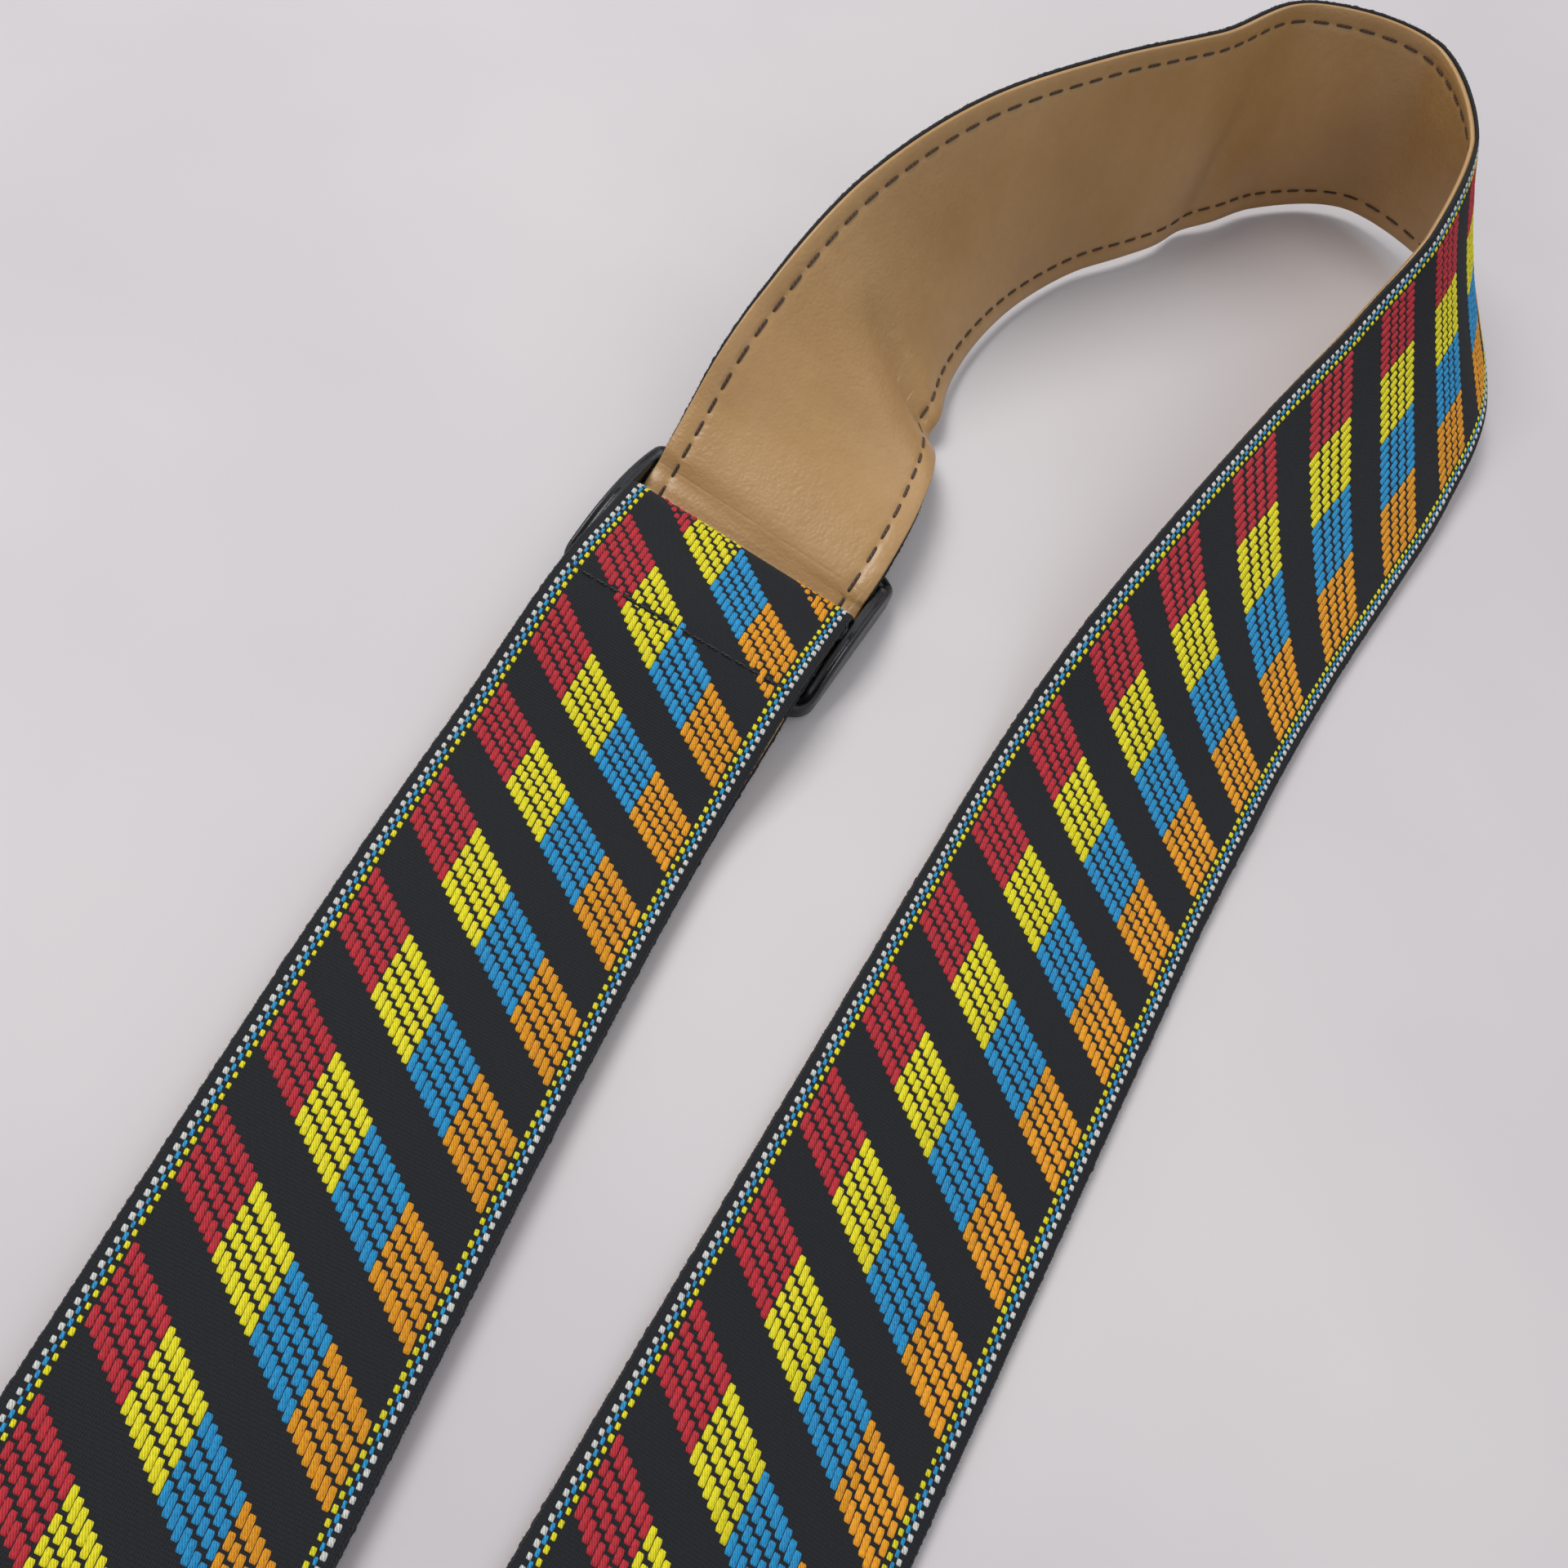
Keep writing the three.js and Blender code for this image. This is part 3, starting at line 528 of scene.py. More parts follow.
def yarn(name, dark, light):
    """A thick float of twisted yarn; its own UV is in millimetres too."""
    look = Look(name, light, 0.7)
    mm = look.strap_mm()
    twist = look.ridges(mm, 0.34, 24)
    fine = look.noise(mm, 1.6, 3)
    cloud = look.noise(mm, 0.05, 2)
    shade = look.math("MULTIPLY_ADD", twist, 0.35, look.math("MULTIPLY", fine, 0.65))
    tone = look.mix(look.spread(shade, 0.25, 0.6), dark, light)
    look.colour(look.mix(look.spread(cloud, 0.4, 0.65, 0, 0.16), tone, dark))
    look.bump(twist, 0.08)
    look.bump(fine, 0.06)
    return look.material


def vinyl():
    """Tan coated vinyl: fine leather grain, soft gloss, pale cracks where it is creased."""
    look = Look("vinyl", linear(178, 138, 88), 0.4, Coat_Weight=0.22, Coat_Roughness=0.32)
    mm = look.strap_mm()
    grain = look.add("ShaderNodeTexVoronoi", {"Vector": mm, "Scale": 1.5}, feature="SMOOTH_F1").outputs[0]
    wrinkle = look.noise(mm, 0.35, 5, 0.6)
    cloud = look.noise(mm, 0.03, 3)
    crease = look.add("ShaderNodeAttribute", attribute_name="crease").outputs["Fac"]
    bent = look.add("ShaderNodeVectorMath", {0: mm, 1: (0.35, 0.08, 1)}, operation="MULTIPLY").outputs[0]
    cracks = look.add("ShaderNodeTexVoronoi", {"Vector": bent, "Scale": 0.42, "Randomness": 1.0},
                      feature="DISTANCE_TO_EDGE").outputs[0]
    line_mask = look.spread(cracks, 0.0, 0.05, 1, 0)
    broken = look.spread(look.noise(mm, 0.25, 3), 0.42, 0.62)
    pale = look.math("MULTIPLY", look.math("MULTIPLY", line_mask, crease), broken)
    tone = look.mix(look.spread(cloud, 0.3, 0.7), linear(166, 127, 76), linear(184, 145, 95))
    tone = look.mix(look.spread(wrinkle, 0.35, 0.7, 0, 0.22), tone, linear(156, 117, 70))
    look.colour(look.mix(look.math("MULTIPLY", pale, 0.7), tone, linear(214, 190, 158)))
    look.rough(look.spread(look.noise(mm, 0.2, 4), 0.3, 0.7, 0.34, 0.46))
    look.bump(grain, 0.07)
    look.bump(wrinkle, 0.12)
    look.bump(pale, 0.15)
    return look.material


def thread(name, dark, light):
    look = Look(name, light, 0.6, Sheen_Weight=0.1)
    mm = look.strap_mm()
    twist = look.ridges(mm, 0.5, 30)
    look.colour(look.mix(twist, dark, light))
    look.bump(twist, 0.12)
    return look.material


def slider_plastic():
    look = Look("slider_plastic", linear(34, 37, 42), 0.32)
    mm = look.object_mm()
    fine = look.noise(mm, 1.6, 4, 0.6)
    cloud = look.noise(mm, 0.12, 3)
    scuff = look.spread(look.noise(mm, 0.5, 5, 0.7), 0.56, 0.72)
    tone = look.mix(cloud, linear(22, 24, 27), linear(34, 36, 41))
    look.colour(look.mix(look.math("MULTIPLY", scuff, 0.2), tone, linear(80, 84, 90)))
    look.rough(look.spread(fine, 0.3, 0.7, 0.22, 0.38))
    look.bump(fine, 0.05)
    return look.material


def ring_metal():
    look = Look("ring_metal", linear(30, 30, 32), 0.3, Metallic=0.85)
    mm = look.object_mm()
    wear = look.spread(look.noise(mm, 0.35, 5, 0.7), 0.6, 0.75)
    look.colour(look.mix(look.math("MULTIPLY", wear, 0.5), linear(30, 30, 32), linear(96, 96, 98)))
    look.rough(look.spread(look.noise(mm, 1.2, 4), 0.3, 0.7, 0.24, 0.42))
    look.bump(look.noise(mm, 0.9, 3), 0.04)
    return look.material


def leather(name, dark, light, roughness, grain_mm):
    look = Look(name, light, roughness, Coat_Weight=0.06, Coat_Roughness=0.4)
    mm = look.object_mm()
    warped = look.add("ShaderNodeTexNoise", {"Vector": mm, "Scale": 0.6, "Detail": 2.0}).outputs["Color"]
    bent = look.add("ShaderNodeVectorMath", {0: mm, 1: warped}, operation="ADD").outputs[0]
    inputs = {"Vector": bent, "Scale": 1 / grain_mm}
    pebble = look.add("ShaderNodeTexVoronoi", inputs, feature="DISTANCE_TO_EDGE").outputs[0]
    cells = look.spread(pebble, 0.0, 0.16)
    fold = look.noise(mm, 0.09, 5, 0.6)
    look.colour(look.mix(look.math("MULTIPLY", cells, look.spread(fold, 0.3, 0.7, 0.5, 1)), dark, light))
    look.rough(look.spread(cells, 0, 1, roughness + 0.15, roughness - 0.05))
    look.bump(cells, 0.12)
    look.bump(fold, 0.5)
    return look.material


MATERIALS = {
    "ground": woven_black(),
    "red": yarn("yarn_red", linear(138, 16, 28), linear(205, 40, 56)),
    "yellow": yarn("yarn_yellow", linear(196, 184, 4), linear(246, 236, 22)),
    "blue": yarn("yarn_blue", linear(12, 112, 168), linear(34, 162, 220)),
    "orange": yarn("yarn_orange", linear(196, 118, 2), linear(246, 170, 20)),
    "white": yarn("yarn_white", linear(168, 172, 170), linear(228, 228, 222)),
    "selvage": yarn("yarn_black", linear(14, 14, 16), linear(34, 35, 38)),
    "vinyl": vinyl(),
    "stitch": thread("stitch_brown", linear(48, 33, 22), linear(88, 63, 42)),
    "black_stitch": thread("stitch_black", linear(12, 12, 13), linear(34, 34, 36)),
    "plastic": slider_plastic(),
    "metal": ring_metal(),
    "leather": leather("tab_leather", linear(14, 13, 12), linear(38, 35, 32), 0.42, 1.3),
    "lining": leather("tab_lining", linear(34, 29, 25), linear(66, 57, 49), 0.85, 0.7),
}


# ---------- the strap's soft pieces ----------
def follow(piece, stretch):
    """Makes a piece of a stretch ride on its body, or bakes its place into its mesh where it has none."""
    if stretch in BODY:
        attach(piece, BODY[stretch])
        return
    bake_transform(piece)


def seam_pull(s):
    """How far the cross seam pulls the ribbon's face in."""
    return SEAM_PULL * np.exp(-(((s - S_CROSS_SEAM) / 0.55) ** 2))


def ribbon_section(s):
    """The woven ground: thin, with rounded edges."""
    half, edge = RIBBON_WIDTH / 2 - 0.35, 0.35
    flat = np.linspace(-half, half, 25)
    over = np.array([[half + edge * 0.8, -0.15], [half + edge, -0.45], [half + edge * 0.8, -0.75]])
    v = np.concatenate([flat, over[:, 0], flat[::-1], -over[::-1, 0]])
    h = np.concatenate([np.full(25, RIBBON_OUT), RIBBON_OUT + over[:, 1], np.full(25, RIBBON_IN),
                        RIBBON_OUT + over[::-1, 1]])
    h = np.tile(h, (len(s), 1))
    h[:, :25] -= seam_pull(s)[:, None]
    return np.tile(v, (len(s), 1)), h


def stitch_dips(s, v):
    """How far the vinyl is pulled in along the two edge seams, from 0 to 1."""
    line_dip = np.exp(-(((np.abs(v) - SEAM_ACROSS) / 0.75) ** 2))
    phase = (s / STITCH_PITCH) % 1
    bridge = np.exp(-(((phase - 0.5) / 0.12) ** 2))
    return line_dip * (1 - 0.75 * bridge)


def fold_crease(s):
    """The sharp line across the vinyl where it bends down into the slider."""
    apart = s - S_FOLD_CREASE
    return 0.16 * np.exp(-((apart / 0.4) ** 2))


def vinyl_section(s):
    """The backing: puffed slightly between the seams and at the edges, and pulled in by the stitches."""
    half, edge = VINYL_WIDTH / 2 - 0.3, 0.3
    seam = SEAM_ACROSS + np.array([-2.2, -1.3, -0.8, -0.4, 0, 0.4, 0.8, 1.3, 2.2])
    flat = np.concatenate([[-half], -seam[::-1], np.linspace(-17, 17, 18), seam, [half]])
    over = np.array([[half + edge * 0.8, 0.15], [half + edge, 0.5], [half + edge * 0.8, 0.9]])
    v = np.concatenate([flat, over[:, 0], flat[::-1], -over[::-1, 0]])
    v = np.tile(v, (len(s), 1))
    count = len(flat)
    h = np.empty_like(v)
    sides = np.tile(s[:, None], (1, count))
    h[:, :count] = VINYL_OUT + 0.34 * stitch_dips(sides, v[:, :count]) + fold_crease(sides)
    h[:, count:count + 3] = VINYL_OUT + over[:, 1]
    h[:, count + 3:-3] = VINYL_IN
    h[:, -3:] = VINYL_OUT + over[::-1, 1]
    return v[:, ::-1], h[:, ::-1]


def crease_amount(s, v):
    """Where the vinyl shows pale cracks: along the dent and at the corner of the fold."""
    kink, slope = DENTS[2][:2]
    dent = np.exp(-(((s - S_FEED - kink - slope * v) / 4) ** 2)) * smoothstep(-v, -8, 16)
    corner = 0.5 * np.exp(-(((s - S_FOLD_CREASE + 3) / 6) ** 2)) * smoothstep(-v, 14, 22)
    return np.clip(dent + corner, 0, 1)


def lay_sheet(piece, stretch, nodes):
    """Puts one stretch of a layer in place of its CAD nodes."""
    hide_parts(*nodes)
    follow(piece, stretch)


def add_ribbon(stretch, start, end, nodes):
    rings = route.rings(start, end)
    piece = swept(f"{stretch}_woven_ribbon", rings, ribbon_section, MATERIALS["ground"])
    lay_sheet(piece, stretch, [f"{node}_ribbon" for node in nodes])


def add_vinyl(stretch, start, end, nodes):
    rings = route.rings(start, end, longest=STITCH_PITCH / 8)
    piece = swept(f"{stretch}_vinyl_backing", rings, vinyl_section, MATERIALS["vinyl"])
    uv = np.empty(len(piece.data.loops) * 2)
    piece.data.uv_layers["strap_mm"].data.foreach_get("uv", uv)
    corners = np.empty(len(piece.data.loops), np.int32)
    piece.data.loops.foreach_get("vertex_index", corners)
    crease = np.zeros(len(piece.data.vertices))
    crease[corners] = crease_amount(uv[1::2], uv[0::2])
    piece.data.attributes.new("crease", "FLOAT", "POINT").data.foreach_set("value", crease)
    lay_sheet(piece, stretch, [f"{node}_vinyl" for node in nodes])


def pads(centres, half_lengths, half_widths, heights, base, lean=0.0):
    """Puffed floats of yarn, open underneath, with (s, v) centres and one size each in the other arrays."""
    u, w = np.meshgrid([-1, -0.92, -0.66, 0.66, 0.92, 1], [-1, -0.66, 0, 0.66, 1], indexing="ij")
    rows, columns = u.shape
    narrow = np.sqrt(1 - 0.5 * np.abs(u) ** 8)
    rise = np.sqrt(np.clip(1 - u**6, 0, 1)) * np.sqrt(np.clip(1 - np.abs(w) ** 2.6, 0, 1))
    sink = np.where(rise < 1e-6, -0.12, 0)
    apart = 3 * rows * columns * np.arange(len(centres))
    middle_s, middle_v, half_lengths, half_widths, heights, apart = each(
        *centres.T, half_lengths, half_widths, heights, apart)
    along = half_lengths * u
    s = middle_s + along
    v = middle_v + half_widths * w * narrow - lean * along
    h = base + heights * rise + sink
    faces = repeated(grid_faces(rows, columns), len(centres), rows * columns)
    uv = np.stack([half_widths * w + apart, along + middle_s], -1)
    return s, v, h, faces, uv


def add_yarns(name, stretch, points, faces, uv, colours, slots=None):
    """One mesh of yarns of the ribbon, laid along its stretch and riding on its body where it has one."""
    materials = [MATERIALS[colour] for colour in colours]
    piece = new_mesh(f"{stretch}_{name}", points, faces, uv, slots, materials)
    follow(piece, stretch)


def pattern_shift(s):
    """How far the woven pattern is moved along, so that both visible runs show it where they should."""
    return np.interp(s, [S_FEED, S_RING], [PATTERN_LONG_RUN, PATTERN_TAIL])


def laid(s):
    """Where a place in the even weave comes to lie, stretched into the loop and squeezed at the sewn end."""
    s = s + PERIOD * smoothstep(s, EASED_START, EASED_END)
    return s - DRAWN_IN * smoothstep(s, S_CROSS_SEAM - DRAWN_IN_LENGTH, S_CROSS_SEAM + 2)


def pattern_floats(start, end):
    """Centre, half length and colour of each coloured float whose middle lies from start to end."""
    found = []
    first = math.floor((start - 4 * PERIOD) / PERIOD)
    last = math.ceil((end + 3 * PERIOD) / PERIOD)
    for end_number in range(WARP_ENDS):
        v = (WARP_ENDS / 2 - 0.5 - end_number) * WARP_PITCH
        for stripe in range(first, last + 1):
            stripe_start = stripe * PERIOD - SLANT * WARP_PITCH * end_number
            for low, high in FLOATS:
                shift = pattern_shift(stripe_start + (low + high) / 2)
                near, far = laid(stripe_start + shift + np.array([low, high]))
                s = (near + far) / 2
                if start <= s < end:
                    found.append((s, v, (far - near) / 2, end_number // ENDS_PER_COLOUR))
    return np.array(found)


def add_pattern(stretch, start, end):
    floats = pattern_floats(start, end)
    count = len(floats)
    jitter = RANDOM.normal(0, 1, (count, 3))
    centres = floats[:, :2] + jitter[:, :2] * [0.05, 0.02]
    heights = FLOAT_HEIGHT * (1 + 0.12 * jitter[:, 2])
    widths = np.full(count, FLOAT_HALF_WIDTH)
    s, v, h, faces, uv = pads(centres, floats[:, 2], widths, heights, RIBBON_OUT, FLOAT_LEAN)
    slots = np.repeat(floats[:, 3].astype(int), len(faces) // count)
    points = route.place(s, v, h - seam_pull(s))
    add_yarns("stripe_floats", stretch, points, faces, uv, ("red", "yellow", "blue", "orange"), slots)


def add_border(stretch, start, end):
    """Both dotted borders: white dashes outside, small blue ones between, yellow ones inside."""
    centres, sizes, slots = [], [], []
    marks = np.arange(math.ceil(start / BORDER_PITCH), math.floor(end / BORDER_PITCH) + 1)
    for side in (1, -1):
        for slot, (v, offset, half_length, half_width, height) in enumerate(BORDER_COLUMNS):
            s = (marks + offset) * BORDER_PITCH
            s = s[(s >= start) & (s < end)]
            centres.append(np.column_stack([s, np.full(len(s), side * v)]))
            sizes.append(np.tile([half_length, half_width, height], (len(s), 1)))
            slots += [slot] * len(s)
    centres, sizes = np.vstack(centres), np.vstack(sizes)
    sizes *= 1 + 0.07 * RANDOM.normal(0, 1, (len(sizes), 1))
    s, v, h, faces, uv = pads(centres, *sizes.T, RIBBON_OUT, FLOAT_LEAN)
    slots = np.repeat(slots, len(faces) // len(centres))
    add_yarns("border_floats", stretch, route.place(s, v, h), faces, uv, ("white", "blue", "yellow"), slots)


def add_selvage(stretch, start, end):
    """The fuzzy black edges: a row of weft turns over the rim and loose fibres."""
    pitch = 0.72
    parts, faces, uvs, total = [], [], [], 0
    for side in (1, -1):
        s = np.arange(start + pitch / 2, end, pitch)
        s = s + RANDOM.normal(0, 0.08, len(s))
        reach = np.abs(RANDOM.normal(0, 0.07, len(s)))
        angle = np.radians(np.linspace(-70, 70, 5))
        u = np.linspace(-1, 1, 4)
        bulge = np.sqrt(np.clip(1 - (u * 0.96) ** 2, 0, 1))
        out = (0.42 + 0.14 * bulge[None, :, None] + reach[:, None, None]) * np.cos(angle)
        rise = (0.36 + 0.06 * bulge[None, :, None]) * np.sin(angle)
        v = side * (RIBBON_WIDTH / 2 - 0.45 + out)
        h = (RIBBON_OUT + RIBBON_IN) / 2 + rise
        along = np.broadcast_to(s[:, None, None] + 0.5 * u[None, :, None], v.shape)
        parts.append(route.place(along, v, h).reshape(-1, 3))
        faces.append(total + repeated(grid_faces(4, 5)[:, ::-side], len(s), 20))
        uvs.append(np.stack([np.broadcast_to(angle * 0.5, v.shape), along], -1).reshape(-1, 2))
        total += v.size
    add_yarns("selvage", stretch, np.vstack(parts), np.vstack(faces), np.vstack(uvs), ("selvage",))


def add_fibres(stretch, start, end):
    """Loose black fibres that stand out of the two selvages, each a thin three-sided hair."""
    count = int((end - start) * 3.2)
    s = RANDOM.uniform(start, end, count)
    side = RANDOM.choice([-1.0, 1.0], count)
    length = RANDOM.uniform(0.25, 0.8, count)
    lean = RANDOM.normal(0, 0.7, count)
    lift = RANDOM.normal(0.05, 0.25, count).clip(-0.4, 0.6)
    s, side, length, lean, lift = each(s, side, length, lean, lift)
    t = np.array([0.0, 0.5, 1.0])[:, None]
    turn = np.radians([90, 210, 330])
    radius = 0.035 * np.array([1.0, 0.8, 0.2])[:, None]
    along = s + lean * length * (t * t) + radius * np.cos(turn)
    out = RIBBON_WIDTH / 2 + length * (t - 0.25) + 0 * turn
    h = 0.45 + lift * length * (t * t) + radius * np.sin(turn)
    points = route.place(along, side * out, h)
    faces = repeated(grid_faces(3, 3, closed_columns=True), count, 9)
    uv = np.stack([out + 0 * along, along], -1)
    add_yarns("selvage_fibres", stretch, points, faces, uv, ("selvage",))


def stitch_row(place, middles, across, height, outward, length=STITCH_LENGTH, radius=STITCH_RADIUS):
    """Separate stitches in a row, whose ends dip into their holes; place turns (s, v, h) into points."""
    t = np.linspace(-1, 1, 9)
    turn = np.radians(np.arange(0, 360, 60))
    s = middles[:, None, None] + length / 2 * t[None, :, None] + 0 * turn
    size = radius * np.sqrt(np.clip(1.02 - t**6, 0.02, 1))[:, None]
    v = across + size * np.cos(turn) + 0 * s
    h = height + outward * (size * 0.8 * np.sin(turn) - 1.5 * radius * (t**6)[:, None]) + 0 * s
    faces = repeated(grid_faces(9, 6, closed_columns=True), len(middles), 54)
    uv = np.stack([np.broadcast_to(turn * 0.3, s.shape), s], -1).reshape(-1, 2)
    return place(s, v, h).reshape(-1, 3), faces, uv


def add_stitches(name, rows, look, nodes):
    """One mesh of several rows of stitches, which stands for the CAD's plain threads."""
    counts = np.cumsum([0] + [len(row[0]) for row in rows])
    points, uv = np.vstack([row[0] for row in rows]), np.vstack([row[2] for row in rows])
    faces = np.vstack([row[1] + count for row, count in zip(rows, counts)])
    piece = new_mesh(name, points, faces, uv, materials=[MATERIALS[look]])
    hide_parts(*nodes)
    return piece


def add_edge_stitches(stretch, start, end, nodes):
    """One separate stitch after another along both edges of the vinyl."""
    marks = np.arange(math.ceil(start / STITCH_PITCH), math.floor(end / STITCH_PITCH) + 1)
    middle = marks * STITCH_PITCH
    middle = middle[(middle >= start) & (middle < end)]
    rows = [stitch_row(route.place, middle, side * SEAM_ACROSS, VINYL_OUT + 0.16, -1) for side in (1, -1)]
    threads = [f"{node}_seam_{edge}_edge" for node in nodes for edge in ("red", "orange")]
    follow(add_stitches(f"{stretch}_edge_stitches", rows, "stitch", threads), stretch)


for name, (start, end, nodes) in STRETCHES.items():
    add_ribbon(name, start, end, nodes)
    add_vinyl(name, start, end, nodes)
    add_pattern(name, start, end)
    add_border(name, start, end)
    add_selvage(name, start, end)
    add_fibres(name, start, end)
    add_edge_stitches(name, start, end, nodes)


def across_strap(s, v, h):
    return route.place(S_CROSS_SEAM + v, s, h)


def add_cross_seam():
    """The line of stitches that closes the sewn end, across the ribbon."""
    middles = np.arange(-22.5, 22.6, 3.0)
    row = stitch_row(across_strap, middles, 0, RIBBON_OUT + 0.12, 1, length=2.9, radius=0.28)
    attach(add_stitches("cross_seam_stitches", [row], "black_stitch", ["cross_seam"]), "slider")


add_cross_seam()


def stand_for(piece, node, body):
    """Puts a rigid piece in place of its CAD node."""
    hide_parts(node)
    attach(piece, body)


# ---------- slider ----------
def rounded_rectangle(half_x, half_y, radius, per_corner=10, per_side=14):
    """A closed outline, counterclockwise from the middle of its right side."""
    x, y = half_x - radius, half_y - radius
    sides = []
    for k, (cx, cy) in enumerate(((x, y), (-x, y), (-x, -y), (x, -y))):
        sides.append(arc((cx, cy), radius, k * math.pi / 2, (k + 1) * math.pi / 2, per_corner))
    outline = []
    for k, corner in enumerate(sides):
        outline += [corner, line(corner[-1], sides[(k + 1) % 4][0], per_side + 2)[1:-1]]
    return np.vstack(outline)


def slider_height(points):
    """How high the frame stands: low at the two end bars, arched over the centre bar at the rails."""
    crown = CENTRE_BAR_Z + CENTRE_BAR_HEIGHT / 2 + 0.3
    y = np.clip(np.abs(points[:, 1]) / (SLIDER_LENGTH / 2 - 1.2), 0, 1)
    at_rail = smoothstep(np.abs(points[:, 0]), SLIDER_WIDTH / 2 - 5, SLIDER_WIDTH / 2 - 2.4)
    return OUTER_BAR_HEIGHT + (crown - OUTER_BAR_HEIGHT) * (1 - y**2) * at_rail


# the frame's section: (share of the way in from the outer edge, millimetres below the top)
FRAME_TOP = ((0, 1.1), (0.05, 0.5), (0.14, 0.12), (0.26, 0), (0.36, 0.12), (0.46, 0.34), (0.6, 0.36),
             (0.72, 0.16), (0.84, 0.08), (0.94, 0.26), (1, 0.8))
FRAME_BOTTOM = ((1, 0.6), (0.9, 0.1), (0.75, 0), (0.25, 0), (0.1, 0.1), (0, 0.6))


def frame_section(outer, inner, height):
    heights = [(share, height - drop) for share, drop in FRAME_TOP]
    heights += [(share, np.full(len(outer), rise)) for share, rise in FRAME_BOTTOM]
    rings = [np.column_stack([outer + share * (inner - outer), z]) for share, z in heights]
    return np.stack(rings, axis=1)


def closed_tube(rings):
    """Faces of a tube whose rings close on themselves and on the first ring."""
    rows, columns = rings.shape[:2]
    faces = grid_faces(rows + 1, columns, closed_columns=True)
    return faces % (rows * columns)


BAR_RINGS, BAR_SIDES = 30, 24


def slider_bar():
    """The centre bar, a rounded bar whose two ends are moulded into the rails."""
    angle = np.linspace(0, 2 * math.pi, BAR_SIDES, endpoint=False)
    power = 0.75
    y = CENTRE_BAR_Y + CENTRE_BAR_LENGTH / 2 * np.sign(np.cos(angle)) * np.abs(np.cos(angle)) ** power
    z = CENTRE_BAR_Z + CENTRE_BAR_HEIGHT / 2 * np.sign(np.sin(angle)) * np.abs(np.sin(angle)) ** power
    reach = SLIDER_WIDTH / 2 - RAIL_WIDTH / 2
    x = np.linspace(-reach, reach, BAR_RINGS)[:, None]
    return np.stack(np.broadcast_arrays(x, y, z), axis=-1)


def add_slider():
    outer = rounded_rectangle(SLIDER_WIDTH / 2, SLIDER_LENGTH / 2, SLIDER_CORNER)
    inner = rounded_rectangle(SLIDER_WIDTH / 2 - RAIL_WIDTH, SLIDER_LENGTH / 2 - OUTER_BAR, 1.0)
    rings = frame_section(outer, inner, slider_height(outer)) + [0, SLIDER_AHEAD, 0]
    first = rings.shape[0] * rings.shape[1]
    last = first + (BAR_RINGS - 1) * BAR_SIDES
    caps = [list(range(first, first + BAR_SIDES))[::-1], list(range(last, last + BAR_SIDES))]
    bar_faces = grid_faces(BAR_RINGS, BAR_SIDES, closed_columns=True) + first
    points = np.vstack([rings.reshape(-1, 3), slider_bar().reshape(-1, 3)])
    piece = new_mesh("slider_moulding", to_row(points), np.vstack([closed_tube(rings), bar_faces]),
                     materials=[MATERIALS["plastic"]], extra_faces=caps)
    stand_for(piece, "slider", "slider")


add_slider()


# ---------- ring ----------
def add_ring():
    """A wire ring: one rounded rod bent into a rectangle, with the weld's slight bulge on its far side."""
    half_x, half_y = RING_HALF_WIDTH, RING_SPAN / 2
    outline = rounded_rectangle(half_x, half_y, RING_CORNER, 12, 16)
    ahead = unit(np.roll(outline, -1, axis=0) - np.roll(outline, 1, axis=0))
    outwards = np.column_stack([ahead[:, 1], -ahead[:, 0]])
    angle = np.linspace(0, 2 * math.pi, 20, endpoint=False)
    centre = np.array([tail_x(-TAIL_LENGTH), -TAIL_LENGTH - half_y])
    weld = np.exp(-((np.hypot(outline[:, 0] - 8, outline[:, 1] + half_y) / 1.3) ** 2))
    radius = RING_ROD / 2 * (0.985 + 0.015 * weld)[:, None]
    flat = centre + outline[:, None, :] + outwards[:, None, :] * (radius * np.cos(angle))[..., None]
    rings = np.concatenate([flat, (RING_Z + radius * np.sin(angle))[..., None]], axis=-1)
    piece = new_mesh("ring_wire", to_row(rings), closed_tube(rings)[:, ::-1], materials=[MATERIALS["metal"]])
    stand_for(piece, "ring", "ring")


add_ring()


# ---------- leather tabs ----------
def quadratic(p0, p1, p2, steps=14):
    t = np.linspace(0, 1, steps)[:, None]
    p0, p1, p2 = (np.array(p, float) for p in (p0, p1, p2))
    return (1 - t) ** 2 * p0 + 2 * t * (1 - t) * p1 + t**2 * p2


def tab_side(root_y, inset=0.0):
    """The tab's outline from its root down to the tip and up the other side, as an open line."""
    half, tip_radius = TAB_HALF_WIDTH - inset, TAB_TIP_RADIUS - inset
    tip_y, lean = -TAB_LENGTH + TAB_TIP_RADIUS, -0.3
    tip_end = (tip_radius * math.cos(lean), tip_y + tip_radius * math.sin(lean))
    right = np.vstack([line((half, root_y), (half, -TAB_SHOULDER), 20)[:-1],
                       quadratic((half, -TAB_SHOULDER), (half - 1, -TAB_SHOULDER - 12), tip_end)])
    tip = arc((0, tip_y), tip_radius, lean, -math.pi - lean, 30)[1:-1]
    return np.vstack([right, tip, right[::-1] * [-1, 1]])


def button_hole():
    hole_y, half = -TAB_LENGTH + BUTTON_HOLE_FROM_TIP, BUTTON_SLIT_WIDTH / 2
    start = math.asin(half / BUTTON_HOLE_RADIUS)
    slit_end = hole_y + BUTTON_HOLE_RADIUS + BUTTON_SLIT_LENGTH
    hole = arc((0, hole_y), BUTTON_HOLE_RADIUS, math.pi / 2 + start, 2.5 * math.pi - start, 36)
    return np.vstack([hole, arc((0, slit_end), half, 0, math.pi, 6)])


